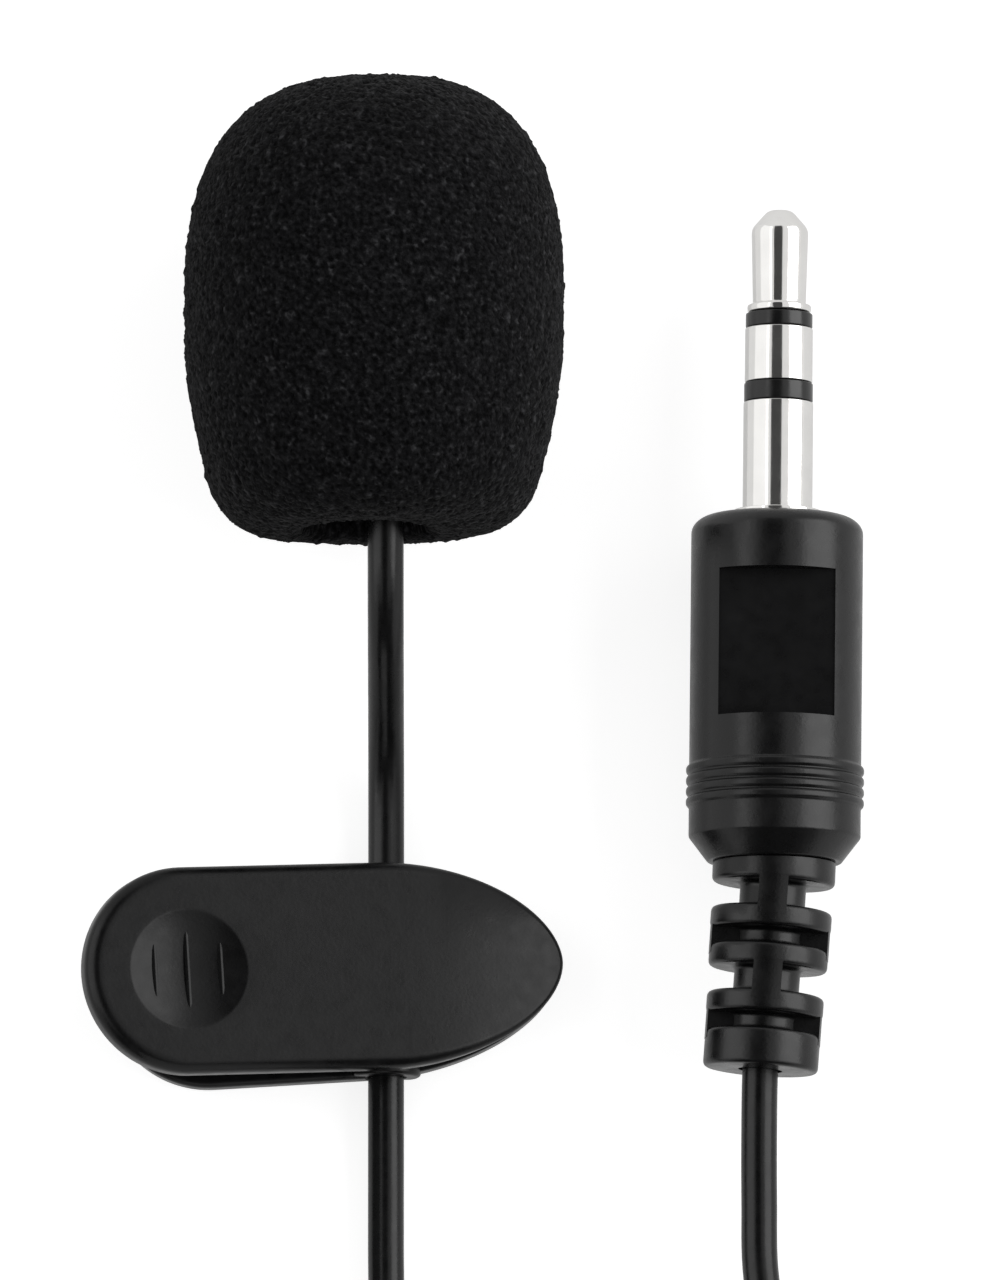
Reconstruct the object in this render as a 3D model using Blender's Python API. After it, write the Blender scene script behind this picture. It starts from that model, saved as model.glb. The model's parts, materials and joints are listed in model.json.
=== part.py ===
"""A clip-on lavalier microphone: foam windscreen, sprung lapel clip, cable and 3.5 mm plug.

It lies on a table at z = 0. The origin is on the back face of the clip. +X runs along the
clip towards its jaw, +Y along the cable towards the microphone, and +Z is up. Sizes are in
metres.
"""

import math

import bmesh
import bpy
from mathutils import Matrix, Vector

# Clearances
PRESS_FIT = 0.00006
RUNNING_FIT = 0.00012
SEAT_GAP = 0.00005
CORD_GAP = 0.0003
SOFT_FIT = 0.0002

# Modelling margins
CUT_MARGIN = 0.001
UNION_OVERLAP = 0.0002
WELD = 1e-7
SMOOTH_ANGLE = math.radians(35)
FULL_SEGMENTS = 32
BODY_SEGMENTS = 28
SMALL_SEGMENTS = 20
PIN_SEGMENTS = 16
EDGE_STEPS = 3

# Places on the table
MIC_X = 0.0032
FOAM_REAR_Y = 0.02123
MIC_HEIGHT = 0.00885
MIC_TILT = math.radians(3.5)
PLUG_X = 0.02278
SHOULDER_Y = 0.02284
PLUG_SKEW = math.radians(0.6)
CLIP_SKEW = math.radians(3.4)

# Cable
CABLE_DIAMETER = 0.0018
CABLE_HEIGHT = 0.00095
CABLE_X = 0.0032
TUBE_SPACING = 2.0
ROUTE_STEPS = 40

# Foam windscreen
FOAM_RADIUS = 0.00948
FOAM_FRONT_LENGTH = 0.0119
FOAM_REAR_LENGTH = 0.0111
FOAM_OFFSET = -0.00058
FOAM_FRONT_EXPONENT = 2.72
FOAM_REAR_RADIUS = 0.0073
FOAM_CORNER_RADIUS = 0.0036
FOAM_MOUTH_RADIUS = 0.0007
FOAM_FRONT_STEPS = 10
FOAM_FLANK_STEPS = 5
FOAM_CORNER_STEPS = 5

# Microphone head, from the cable to the front
MIC_RECESS = 0.0016
BUSH_LENGTH = 0.0026
BUSH_REAR_DIAMETER = 0.0034
BUSH_SPIGOT_LENGTH = 0.002
BUSH_TAPER_LENGTH = 0.00195
BARREL_DIAMETER = 0.0074
BARREL_WALL = 0.0006
BARREL_LENGTH = 0.01
CAP_LENGTH = 0.003
CAP_FRONT_WALL = 0.0006
CAP_EDGE_RADIUS = 0.0009
CAP_SPIGOT_LENGTH = 0.0015
CAP_SPIGOT_WALL = 0.00045
CAP_SLOT_COUNT = 5
CAP_SLOT_WIDTH = 0.0005
CAP_SLOT_PITCH = 0.001
CAP_SLOT_SPAN = 0.0046
SCREEN_THICKNESS = 0.00025
FELT_THICKNESS = 0.0003
CAPSULE_DIAMETER = 0.0045
CAPSULE_LENGTH = 0.0022
CAN_WALL = 0.0002
CAN_HOLE_DIAMETER = 0.001
DIAPHRAGM_THICKNESS = 0.00015
BACKPLATE_THICKNESS = 0.0003
BACKPLATE_HOLE_DIAMETER = 0.0007
BOARD_THICKNESS = 0.0004
CONTACT_RING_WALL = 0.0003
CABLE_STOP_LENGTH = 0.001
CABLE_STOP_DIAMETER = 0.0032
CABLE_TAIL = 0.0002
MIC_WIRE_DIAMETER = 0.0005
MIC_WIRE_OFFSET = 0.0009
MIC_WIRE_STEPS = 6

# Clip levers
CLIP_LENGTH = 0.02477
CLIP_WIDTH = 0.0104
JAW_TIP_X = 0.0119
JAW_TAPER = 0.0094
JAW_EXPONENT = 1.84
HINGE_FROM_TIP = 0.013
REAR_LEVER_SHORTER = 0.00197
REAR_THICKNESS = 0.0013
FRONT_THICKNESS = 0.0014
HINGE_TO_PLATE = 0.0018
JAW_GAP = 0.00015
LEVER_EDGE_RADIUS = 0.0005
REAR_EDGE_RADIUS = 0.0003
ROUND_END_STEPS = 16

# Clip hinge
EAR_RADIUS = 0.00115
EAR_THICKNESS = 0.0008
EAR_STEPS = 8
FRONT_EAR_INSIDE = 0.0024
HINGE_PIN_DIAMETER = 0.0012
HINGE_PIN_OVERHANG = 0.0003
SPRING_WIRE_DIAMETER = 0.00045
SPRING_RADIUS = 0.00135
SPRING_PITCH = 0.0009
SPRING_WHOLE_CURLS = 3
SPRING_LEG_LENGTH = 0.0062
POINTS_PER_CURL = 10

# Clip details
DIMPLE_FROM_END = 0.00525
DIMPLE_RADIUS = 0.003
DIMPLE_DEPTH = 0.0005
DIMPLE_RINGS = 4
RIDGE_COUNT = 3
RIDGE_PITCH = 0.0017
RIDGE_WIDTH = 0.0003
RIDGE_BELOW_FACE = 0.00022
RIDGE_REACH = 0.0022
TOOTH_COUNT = 3
TOOTH_PITCH = 0.0012
TOOTH_HEIGHT = 0.00035
TOOTH_SPAN = 0.0048
FIRST_TOOTH_FROM_TIP = 0.0022
GROOVE_CLEARANCE = 0.00015
GROOVE_MOUTH = 0.0013
RIB_WALL = 0.0007
RIB_END_INSET = 0.0002

# Plug contacts, from the shoulder to the tip
SLEEVE_LENGTH = 0.00575
RING_BAND_LENGTH = 0.00097
RING_LENGTH = 0.00278
TIP_BAND_LENGTH = 0.00075
TIP_LENGTH = 0.00525
SLEEVE_DIAMETER = 0.0035
RING_BAND_DIAMETER = 0.00345
RING_DIAMETER = 0.0034
TIP_BAND_DIAMETER = 0.00335
TIP_DIAMETER = 0.00286
TIP_NECK_DIAMETER = 0.00266
TIP_COLLAR_DIAMETER = 0.0032
TIP_COLLAR_LENGTH = 0.00045
TIP_NOSE_DIAMETER = 0.0012
TIP_NOSE_LENGTH = 0.00095
TIP_ROD_DIAMETER = 0.001
CONTACT_WALL = 0.00025
FLANGE_DIAMETER = 0.0044
FLANGE_PROUD = 0.0003
FLANGE_SUNK = 0.0006
SLEEVE_TAIL = 0.002
TAIL_STEP = 0.0008
TIP_TAIL_STEPS = 4

# Plug body and strain relief, from the shoulder to the cable
BODY_DIAMETER = 0.0086
BODY_LENGTH = 0.01745
BODY_EDGE_DEPTH = 0.0009
BODY_EDGE_WIDTH = 0.00125
BODY_EDGE_STEPS = 5
GRIP_START = 0.01258
GRIP_COUNT = 4
GRIP_PITCH = 0.00054
GRIP_HEIGHT = 0.00015
GRIP_GROOVE = 0.00014
CONE_LENGTH = 0.00125
CONE_END_DIAMETER = 0.0067
PANEL_START = 0.00305
PANEL_LENGTH = 0.0074
PANEL_WIDTH = 0.0058
PANEL_DEPTH = 0.00125
MOULD_DIAMETER = 0.005
MOULD_LENGTH = 0.0083
MOULD_WALL = 0.00045
MOULD_REAR_BORE = 0.0024
MOULD_REAR_LENGTH = 0.0032
RELIEF_SPIGOT_DIAMETER = 0.0048
RELIEF_SPIGOT_LENGTH = 0.0064
RELIEF_START_DIAMETER = 0.00615
RELIEF_END_DIAMETER = 0.00575
RELIEF_CORE_DIAMETER = 0.0033
RELIEF_SLOT_COUNT = 4
RELIEF_SIDE_SLOT_LENGTH = 0.00128
RELIEF_FACE_SLOT_LENGTH = 0.00083
RELIEF_DISC_LENGTH = 0.00108
RELIEF_END_LENGTH = 0.00186
RELIEF_WEB_WIDTH = 0.00145
RELIEF_LEAN = 0.064
RELIEF_LEAN_EASE = 0.001
RELIEF_BORE_STEPS = 8
RELIEF_CABLE_FIT = 0.0002
PLUG_WIRE_DIAMETER = 0.0004
PLUG_WIRE_OFFSET = 0.0004

# Stored cable
COIL_CENTRE = (0.0126, -0.038)
COIL_OUTER_RADIUS = 0.015
COIL_GAP = 0.0005
COIL_LAYERS = 4
TURNS_PER_LAYER = 3.75
REVERSING_TURN = 0.5
POINTS_PER_LOOP = 24
COIL_LIFT = 0.00045
TIE_WIDTH = 0.003
TIE_THICKNESS = 0.00035
TIE_CLEARANCE = 0.0003
TIE_CORNER_RADIUS = 0.0012
TIE_CORNER_STEPS = 4
TIE_TAIL_LENGTH = 0.008
TIE_TAIL_SIZE = 0.0011
TIE_TAIL_TURNS = 1.5
TIE_TAIL_STEPS = 12

# Hand-chosen route points of the two free stretches of cable
MIC_ROUTE = [
    (0.0032, 0.0194, 0.00845),
    (0.0032, 0.0167, 0.00715),
    (0.0032, 0.0141, 0.00475),
    (0.0032, 0.0115, 0.00245),
    (0.0032, 0.0089, 0.00128),
    (0.0032, 0.0062, 0.00095),
    (0.0032, 0.0015, 0.00095),
    (0.0032, -0.0035, 0.00095),
    (0.0032, -0.0085, 0.00095),
    (0.0032, -0.0135, 0.00095),
    (0.0032, -0.0185, 0.00095),
    (0.0028, -0.022, 0.001),
    (0.0015, -0.0257, 0.0011),
    (-0.0004, -0.0292, 0.00125),
    (-0.0019, -0.0326, 0.00135),
]
PLUG_ROUTE = [
    (0.02182, -0.0082, 0.0044),
    (0.02182, -0.0116, 0.0043),
    (0.0219, -0.0153, 0.0043),
    (0.0226, -0.0193, 0.0048),
    (0.0243, -0.0236, 0.0062),
    (0.0262, -0.028, 0.0077),
    (0.0273, -0.0322, 0.00825),
]

# Sizes that follow from those above
CABLE_RADIUS = CABLE_DIAMETER / 2
BARREL_RADIUS = BARREL_DIAMETER / 2
BARREL_BORE = BARREL_RADIUS - BARREL_WALL
BARREL_REAR = MIC_RECESS + BUSH_LENGTH
BARREL_FRONT = BARREL_REAR + SEAT_GAP + BARREL_LENGTH
CAP_REAR = BARREL_FRONT + SEAT_GAP
CAP_FRONT = CAP_REAR + CAP_LENGTH
CAP_BORE = BARREL_BORE - PRESS_FIT - CAP_SPIGOT_WALL
FELT_FRONT = CAP_REAR - CAP_SPIGOT_LENGTH - SEAT_GAP
CAPSULE_FRONT = FELT_FRONT - FELT_THICKNESS - SEAT_GAP
CAPSULE_REAR = CAPSULE_FRONT - CAPSULE_LENGTH
CAN_BORE = CAPSULE_DIAMETER / 2 - CAN_WALL
STOP_REAR = BARREL_REAR + BUSH_SPIGOT_LENGTH + SEAT_GAP
CABLE_END = STOP_REAR + CABLE_STOP_LENGTH + CABLE_TAIL
FOAM_BORE = BARREL_RADIUS + SOFT_FIT
FOAM_BORE_DEPTH = CAP_FRONT + SOFT_FIT
HINGE_X = JAW_TIP_X - HINGE_FROM_TIP
HINGE_Z = REAR_THICKNESS + HINGE_TO_PLATE
REAR_EAR_INSIDE = FRONT_EAR_INSIDE + EAR_THICKNESS + RUNNING_FIT
GRIP_RADIUS = BODY_DIAMETER / 2 + GRIP_HEIGHT
PLUG_HEIGHT = GRIP_RADIUS
SLEEVE_TOP = SLEEVE_LENGTH
RING_BAND_TOP = SLEEVE_TOP + RING_BAND_LENGTH
RING_TOP = RING_BAND_TOP + RING_LENGTH
TIP_BAND_TOP = RING_TOP + TIP_BAND_LENGTH
TIP_END = TIP_BAND_TOP + TIP_LENGTH
MOULD_FRONT = -FLANGE_SUNK - SEAT_GAP
MOULD_REAR = MOULD_FRONT - MOULD_LENGTH
RELIEF_SPIGOT_FRONT = -BODY_LENGTH + RELIEF_SPIGOT_LENGTH
RELIEF_SLOT_LENGTHS = (RELIEF_SIDE_SLOT_LENGTH, RELIEF_FACE_SLOT_LENGTH) * (RELIEF_SLOT_COUNT // 2)
RELIEF_DISCS_LENGTH = RELIEF_SLOT_COUNT * RELIEF_DISC_LENGTH + RELIEF_END_LENGTH
RELIEF_REAR = -BODY_LENGTH - SEAT_GAP - RELIEF_DISCS_LENGTH - sum(RELIEF_SLOT_LENGTHS)
COIL_PITCH = CABLE_DIAMETER + COIL_GAP
COIL_BASE = COIL_LIFT + CABLE_RADIUS
COIL_INNER_RADIUS = COIL_OUTER_RADIUS - TURNS_PER_LAYER * COIL_PITCH
COIL_BULGE = COIL_PITCH * REVERSING_TURN / 4


def clear_scene():
    for item in list(bpy.data.objects):
        bpy.data.objects.remove(item, do_unlink=True)


def finish(name, colour, roughness, metallic=0.0):
    """A Principled material."""
    made = bpy.data.materials.new(name)
    made.use_nodes = True
    made.diffuse_color = (*colour, 1.0)
    shader = made.node_tree.nodes["Principled BSDF"]
    shader.inputs["Base Color"].default_value = (*colour, 1.0)
    shader.inputs["Roughness"].default_value = roughness
    shader.inputs["Metallic"].default_value = metallic
    return made


def make_finishes():
    return {
        "foam": finish("black_foam", (0.012, 0.012, 0.013), 0.95),
        "clip": finish("black_clip_plastic", (0.032, 0.032, 0.034), 0.45),
        "mic": finish("black_head_plastic", (0.025, 0.025, 0.026), 0.4),
        "rubber": finish("black_rubber", (0.02, 0.02, 0.02), 0.7),
        "pvc": finish("black_cable_pvc", (0.018, 0.018, 0.019), 0.4),
        "band": finish("black_insulator", (0.015, 0.015, 0.015), 0.35),
        "mould": finish("natural_polyethylene", (0.7, 0.7, 0.66), 0.5),
        "nickel": finish("nickel_plate", (0.82, 0.81, 0.79), 0.15, 1.0),
        "steel": finish("spring_steel", (0.6, 0.6, 0.6), 0.3, 1.0),
        "aluminium": finish("capsule_aluminium", (0.75, 0.75, 0.76), 0.35, 1.0),
        "brass": finish("backplate_brass", (0.72, 0.55, 0.28), 0.35, 1.0),
        "felt": finish("black_felt", (0.015, 0.015, 0.015), 1.0),
        "film": finish("diaphragm_film", (0.78, 0.72, 0.5), 0.3, 0.6),
        "board": finish("circuit_board", (0.03, 0.16, 0.06), 0.5),
        "copper": finish("tinned_copper", (0.75, 0.55, 0.42), 0.35, 1.0),
        "red": finish("red_wire_pvc", (0.5, 0.03, 0.02), 0.45),
    }


def frame(name, location, rotation=(0.0, 0.0, 0.0), parent=None):
    """An empty that carries a group of pieces."""
    empty = bpy.data.objects.new(name, None)
    empty.location = location
    empty.rotation_euler = rotation
    empty.parent = parent
    bpy.context.scene.collection.objects.link(empty)
    return empty


def add_solid(name, shape, surface, parent):
    """A named object made from a bmesh, shaded smooth between its sharp edges."""
    data = bpy.data.meshes.new(name)
    shape.to_mesh(data)
    shape.free()
    if surface:
        data.materials.append(surface)
    data.shade_smooth()
    data.set_sharp_from_angle(angle=SMOOTH_ANGLE)
    solid = bpy.data.objects.new(name, data)
    solid.parent = parent
    bpy.context.scene.collection.objects.link(solid)
    return solid


def combine(target, shape, operation):
    """Cuts a bmesh from an object, or joins it on, through a hidden helper."""
    helper = add_solid(f"{target.name}_{operation.lower()}", shape, None, target.parent)
    helper.hide_render = True
    helper.display_type = "WIRE"
    step = target.modifiers.new(helper.name, "BOOLEAN")
    step.operation = operation
    step.solver = "EXACT"
    step.object = helper
    return helper


def cut(target, shape):
    return combine(target, shape, "DIFFERENCE")


def join(target, shape):
    return combine(target, shape, "UNION")


def turned(profile, segments, ring=False):
    """A turned shape about Z from (radius, height) points, axis to axis or a closed ring."""
    shape = bmesh.new()
    points = [shape.verts.new((radius, 0.0, height)) for radius, height in profile]
    edges = [shape.edges.new(pair) for pair in zip(points, points[1:])]
    if ring:
        edges.append(shape.edges.new((points[-1], points[0])))
    bmesh.ops.spin(
        shape,
        geom=points + edges,
        cent=(0.0, 0.0, 0.0),
        axis=(0.0, 0.0, 1.0),
        angle=math.tau,
        steps=segments,
        use_merge=True,
    )
    bmesh.ops.remove_doubles(shape, verts=shape.verts, dist=WELD)
    bmesh.ops.recalc_face_normals(shape, faces=shape.faces)
    return shape


def tube_ring(inner, outer, low, high, segments):
    """A plain turned ring."""
    profile = [(inner, low), (outer, low), (outer, high), (inner, high)]
    return turned(profile, segments, ring=True)


def disc(radius, low, high, segments):
    return turned([(0.0, low), (radius, low), (radius, high), (0.0, high)], segments)


def prism(outline, low, high):
    """A closed prism along Z on an outline of (x, y) points."""
    shape = bmesh.new()
    base = shape.faces.new([shape.verts.new((x, y, low)) for x, y in outline])
    grown = bmesh.ops.extrude_face_region(shape, geom=[base])
    moved = [item for item in grown["geom"] if isinstance(item, bmesh.types.BMVert)]
    bmesh.ops.translate(shape, vec=(0.0, 0.0, high - low), verts=moved)
    bmesh.ops.recalc_face_normals(shape, faces=shape.faces)
    return shape


def block(low, high):
    """A box between two corners."""
    outline = [(low[0], low[1]), (high[0], low[1]), (high[0], high[1]), (low[0], high[1])]
    return prism(outline, low[2], high[2])


def across(shape):
    """Turns a shape so that its X stays, its Y points up and its Z points to -Y."""
    turn = Matrix.Rotation(math.pi / 2, 3, "X")
    bmesh.ops.rotate(shape, cent=(0.0, 0.0, 0.0), matrix=turn, verts=shape.verts)
    return shape


def shifted(shape, offset):
    bmesh.ops.translate(shape, vec=offset, verts=shape.verts)
    return shape


def along_cable(shape):
    """Turns a shape of the clip back from the clip's skew, in line with the cable."""
    turn = Matrix.Rotation(-CLIP_SKEW, 3, "Z")
    bmesh.ops.rotate(shape, cent=(0.0, 0.0, 0.0), matrix=turn, verts=shape.verts)
    return shape


def arc(centre, radius, start, end, steps):
    """Points on an arc between two angles, both ends included."""
    points = []
    for step in range(steps + 1):
        angle = start + (end - start) * step / steps
        points.append((centre[0] + radius * math.cos(angle), centre[1] + radius * math.sin(angle)))
    return points


def add_tube(name, points, diameter, surface, resolution, parent=None):
    """A round tube with filled ends along a line of points."""
    data = bpy.data.curves.new(name, "CURVE")
    data.dimensions = "3D"
    data.bevel_depth = diameter / 2
    data.bevel_resolution = resolution
    data.use_fill_caps = True
    data.materials.append(surface)
    spline = data.splines.new("POLY")
    spline.points.add(len(points) - 1)
    for target, point in zip(spline.points, points):
        target.co = (*point, 1.0)
    tube = bpy.data.objects.new(name, data)
    tube.parent = parent
    bpy.context.scene.collection.objects.link(tube)
    return tube


def smooth_route(route, spacing):
    """Points about a spacing apart along a Catmull-Rom curve through the route's points."""
    knots = [Vector(point) for point in route]
    knots = [knots[0] * 2 - knots[1], *knots, knots[-1] * 2 - knots[-2]]
    fine = []
    for a, b, c, d in zip(knots, knots[1:], knots[2:], knots[3:]):
        for step in range(ROUTE_STEPS):
            t = step / ROUTE_STEPS
            bend = (a * 2 - b * 5 + c * 4 - d) * t**2 + (b * 3 - a - c * 3 + d) * t**3
            fine.append((b * 2 + (c - a) * t + bend) / 2)
    fine.append(knots[-2])
    travelled = [0.0]
    for a, b in zip(fine, fine[1:]):
        travelled.append(travelled[-1] + (b - a).length)
    count = max(2, round(travelled[-1] / spacing))
    points = []
    index = 0
    for step in range(count + 1):
        wanted = travelled[-1] * step / count
        while index < len(fine) - 2 and travelled[index + 1] < wanted:
            index += 1
        share = (wanted - travelled[index]) / (travelled[index + 1] - travelled[index])
        points.append(fine[index].lerp(fine[index + 1], share))
    return points


def least_gap(points, diameter, skip):
    """Least clear distance between stretches of one tube that are over skip points apart."""
    least = math.inf
    for i, a in enumerate(points):
        for b in points[i + skip :]:
            least = min(least, (a - b).length)
    return least - diameter


# Foam windscreen
def foam_outer_profile():
    """(radius, height) points of the foam from its front to its rear face."""
    points = [(0.0, FOAM_REAR_LENGTH + FOAM_FRONT_LENGTH)]
    for step in range(1, FOAM_FRONT_STEPS + 1):
        share = math.cos(step / FOAM_FRONT_STEPS * math.pi / 2)
        radius = FOAM_RADIUS * (1 - share**FOAM_FRONT_EXPONENT) ** (1 / FOAM_FRONT_EXPONENT)
        points.append((radius, FOAM_REAR_LENGTH + FOAM_FRONT_LENGTH * share))
    narrowing = FOAM_RADIUS - FOAM_REAR_RADIUS
    tilt = math.atan(2 * narrowing / FOAM_REAR_LENGTH)
    flank_length = FOAM_REAR_LENGTH - FOAM_CORNER_RADIUS * (1 - math.sin(tilt))
    for step in range(1, FOAM_FLANK_STEPS + 1):
        depth = flank_length * step / FOAM_FLANK_STEPS
        radius = FOAM_RADIUS - narrowing * (depth / FOAM_REAR_LENGTH) ** 2
        points.append((radius, FOAM_REAR_LENGTH - depth))
    corner = (radius - FOAM_CORNER_RADIUS * math.cos(tilt), FOAM_CORNER_RADIUS)
    points += arc(corner, FOAM_CORNER_RADIUS, -tilt, -math.pi / 2, FOAM_CORNER_STEPS)[1:]
    return points


def make_foam(surfaces, parent):
    """The foam, a little off centre on its bore, as a soft sock sits."""
    outside = turned([*foam_outer_profile(), (0.0, 0.0)], FULL_SEGMENTS)
    foam = add_solid("foam_windscreen", shifted(outside, (FOAM_OFFSET, 0.0, 0.0)), surfaces["foam"], parent)
    mouth = (FOAM_BORE + FOAM_MOUTH_RADIUS, FOAM_MOUTH_RADIUS)
    bore = [(0.0, -CUT_MARGIN), (mouth[0], -CUT_MARGIN)]
    bore += arc(mouth, FOAM_MOUTH_RADIUS, -math.pi / 2, -math.pi, EDGE_STEPS)
    bore += [(FOAM_BORE, FOAM_BORE_DEPTH), (0.0, FOAM_BORE_DEPTH)]
    cut(foam, turned(bore, FULL_SEGMENTS))


# Microphone head
def make_head_shell(surfaces, parent):
    bush_bore = CABLE_RADIUS + PRESS_FIT
    spigot = BARREL_BORE - PRESS_FIT
    bush = [
        (bush_bore, MIC_RECESS),
        (BUSH_REAR_DIAMETER / 2, MIC_RECESS),
        (BARREL_RADIUS, MIC_RECESS + BUSH_TAPER_LENGTH),
        (BARREL_RADIUS, BARREL_REAR),
        (spigot, BARREL_REAR),
        (spigot, BARREL_REAR + BUSH_SPIGOT_LENGTH),
        (bush_bore, BARREL_REAR + BUSH_SPIGOT_LENGTH),
    ]
    add_solid("rear_bush", turned(bush, FULL_SEGMENTS, ring=True), surfaces["rubber"], parent)
    barrel = tube_ring(
        BARREL_BORE, BARREL_RADIUS, BARREL_REAR + SEAT_GAP, BARREL_FRONT, FULL_SEGMENTS
    )
    add_solid("mic_barrel", barrel, surfaces["mic"], parent)


def make_grille_cap(surfaces, parent):
    spigot = BARREL_BORE - PRESS_FIT
    edge = (BARREL_RADIUS - CAP_EDGE_RADIUS, CAP_FRONT - CAP_EDGE_RADIUS)
    profile = [(0.0, CAP_FRONT)]
    profile += arc(edge, CAP_EDGE_RADIUS, math.pi / 2, 0.0, EDGE_STEPS)
    profile += [
        (BARREL_RADIUS, CAP_REAR),
        (spigot, CAP_REAR),
        (spigot, CAP_REAR - CAP_SPIGOT_LENGTH),
        (CAP_BORE, CAP_REAR - CAP_SPIGOT_LENGTH),
        (CAP_BORE, CAP_FRONT - CAP_FRONT_WALL),
        (0.0, CAP_FRONT - CAP_FRONT_WALL),
    ]
    cap = add_solid("grille_cap", turned(profile, FULL_SEGMENTS), surfaces["mic"], parent)
    for index in range(CAP_SLOT_COUNT):
        place = (index - (CAP_SLOT_COUNT - 1) / 2) * CAP_SLOT_PITCH
        reach = math.sqrt((CAP_SLOT_SPAN / 2) ** 2 - place**2)
        low = (-reach, place - CAP_SLOT_WIDTH / 2, CAP_FRONT - CAP_FRONT_WALL - CUT_MARGIN)
        high = (reach, place + CAP_SLOT_WIDTH / 2, CAP_FRONT + CUT_MARGIN)
        cut(cap, block(low, high))
    screen_front = CAP_FRONT - CAP_FRONT_WALL - SEAT_GAP
    screen = disc(CAP_BORE - PRESS_FIT, screen_front - SCREEN_THICKNESS, screen_front, SMALL_SEGMENTS)
    add_solid("mesh_screen", screen, surfaces["steel"], parent)


def make_capsule(surfaces, parent):
    """The electret capsule with its boot and dust felt."""
    radius = CAPSULE_DIAMETER / 2
    inside = CAN_BORE - PRESS_FIT
    felt = disc(radius, CAPSULE_FRONT + SEAT_GAP, FELT_FRONT, SMALL_SEGMENTS)
    add_solid("dust_felt", felt, surfaces["felt"], parent)
    can = [
        (CAN_HOLE_DIAMETER / 2, CAPSULE_FRONT),
        (radius, CAPSULE_FRONT),
        (radius, CAPSULE_REAR),
        (CAN_BORE, CAPSULE_REAR),
        (CAN_BORE, CAPSULE_FRONT - CAN_WALL),
        (CAN_HOLE_DIAMETER / 2, CAPSULE_FRONT - CAN_WALL),
    ]
    add_solid("capsule_can", turned(can, SMALL_SEGMENTS, ring=True), surfaces["aluminium"], parent)
    top = CAPSULE_FRONT - CAN_WALL - SEAT_GAP
    diaphragm = disc(inside, top - DIAPHRAGM_THICKNESS, top, SMALL_SEGMENTS)
    add_solid("diaphragm", diaphragm, surfaces["film"], parent)
    top -= DIAPHRAGM_THICKNESS + SEAT_GAP
    backplate = tube_ring(
        BACKPLATE_HOLE_DIAMETER / 2, inside, top - BACKPLATE_THICKNESS, top, SMALL_SEGMENTS
    )
    add_solid("backplate", backplate, surfaces["brass"], parent)
    top -= BACKPLATE_THICKNESS + SEAT_GAP
    board_top = CAPSULE_REAR + BOARD_THICKNESS
    ring = tube_ring(inside - CONTACT_RING_WALL, inside, board_top + SEAT_GAP, top, SMALL_SEGMENTS)
    add_solid("contact_ring", ring, surfaces["brass"], parent)
    board = disc(inside, CAPSULE_REAR, board_top, SMALL_SEGMENTS)
    add_solid("capsule_board", board, surfaces["board"], parent)
    boot = tube_ring(
        radius + PRESS_FIT, BARREL_BORE - PRESS_FIT, CAPSULE_REAR, CAPSULE_FRONT, SMALL_SEGMENTS
    )
    add_solid("capsule_boot", boot, surfaces["rubber"], parent)


def make_head_wiring(surfaces, parent):
    stop = tube_ring(
        CABLE_RADIUS + PRESS_FIT,
        CABLE_STOP_DIAMETER / 2,
        STOP_REAR,
        STOP_REAR + CABLE_STOP_LENGTH,
        SMALL_SEGMENTS,
    )
    add_solid("cable_stop", stop, surfaces["aluminium"], parent)
    start = CABLE_END + SEAT_GAP
    end = CAPSULE_REAR - SEAT_GAP
    near = CABLE_RADIUS / 2
    for name, side, surface in (("signal_wire", 1, "red"), ("shield_wire", -1, "copper")):
        points = []
        for step in range(MIC_WIRE_STEPS + 1):
            share = step / MIC_WIRE_STEPS
            ease = (1 - math.cos(share * math.pi)) / 2
            offset = side * (near + (MIC_WIRE_OFFSET - near) * ease)
            points.append((offset, 0.0, start + (end - start) * share))
        add_tube(name, points, MIC_WIRE_DIAMETER, surfaces[surface], 0, parent)


# Clip
def lever_outline(tip_x, length):
    """Plan of a lever: a half round thumb end, straight flanks and a narrowing jaw."""
    half = CLIP_WIDTH / 2
    taper_x = tip_x - JAW_TAPER
    power = 2 / JAW_EXPONENT
    points = []
    for x, y in arc((0.0, 0.0), 1.0, -math.pi / 2, math.pi / 2, ROUND_END_STEPS):
        points.append((taper_x + JAW_TAPER * abs(x) ** power, math.copysign(half * abs(y) ** power, y)))
    points += arc((tip_x - length + half, 0.0), half, math.pi / 2, math.pi * 1.5, ROUND_END_STEPS)
    return points


def lever_plate(tip_x, length, low, high, edge_radius, edge_height):
    """A lever's plate, with the edge of the face at edge_height rounded."""
    plate = prism(lever_outline(tip_x, length), low, high)
    rim = [
        edge
        for edge in plate.edges
        if all(abs(vert.co.z - edge_height) < WELD for vert in edge.verts)
    ]
    bmesh.ops.bevel(
        plate,
        geom=rim,
        offset=edge_radius,
        offset_type="OFFSET",
        segments=EDGE_STEPS,
        profile=0.5,
        affect="EDGES",
    )
    bmesh.ops.recalc_face_normals(plate, faces=plate.faces)
    return plate


def ear(plate_side, inside):
    """A hinge ear about the Y axis that reaches to height plate_side, its inner face at inside."""
    outline = arc((0.0, 0.0), EAR_RADIUS, 0.0, math.pi, EAR_STEPS)
    outline += [(-EAR_RADIUS, -abs(plate_side)), (EAR_RADIUS, -abs(plate_side))]
    if plate_side > 0:
        outline = [(x, -y) for x, y in outline]
    low, high = sorted((-inside, -inside - math.copysign(EAR_THICKNESS, inside)))
    return across(prism(outline, low, high))


def hinge_hole(clearance):
    reach = REAR_EAR_INSIDE + EAR_THICKNESS + CUT_MARGIN
    return across(disc(HINGE_PIN_DIAMETER / 2 + clearance, -reach, reach, PIN_SEGMENTS))


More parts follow.
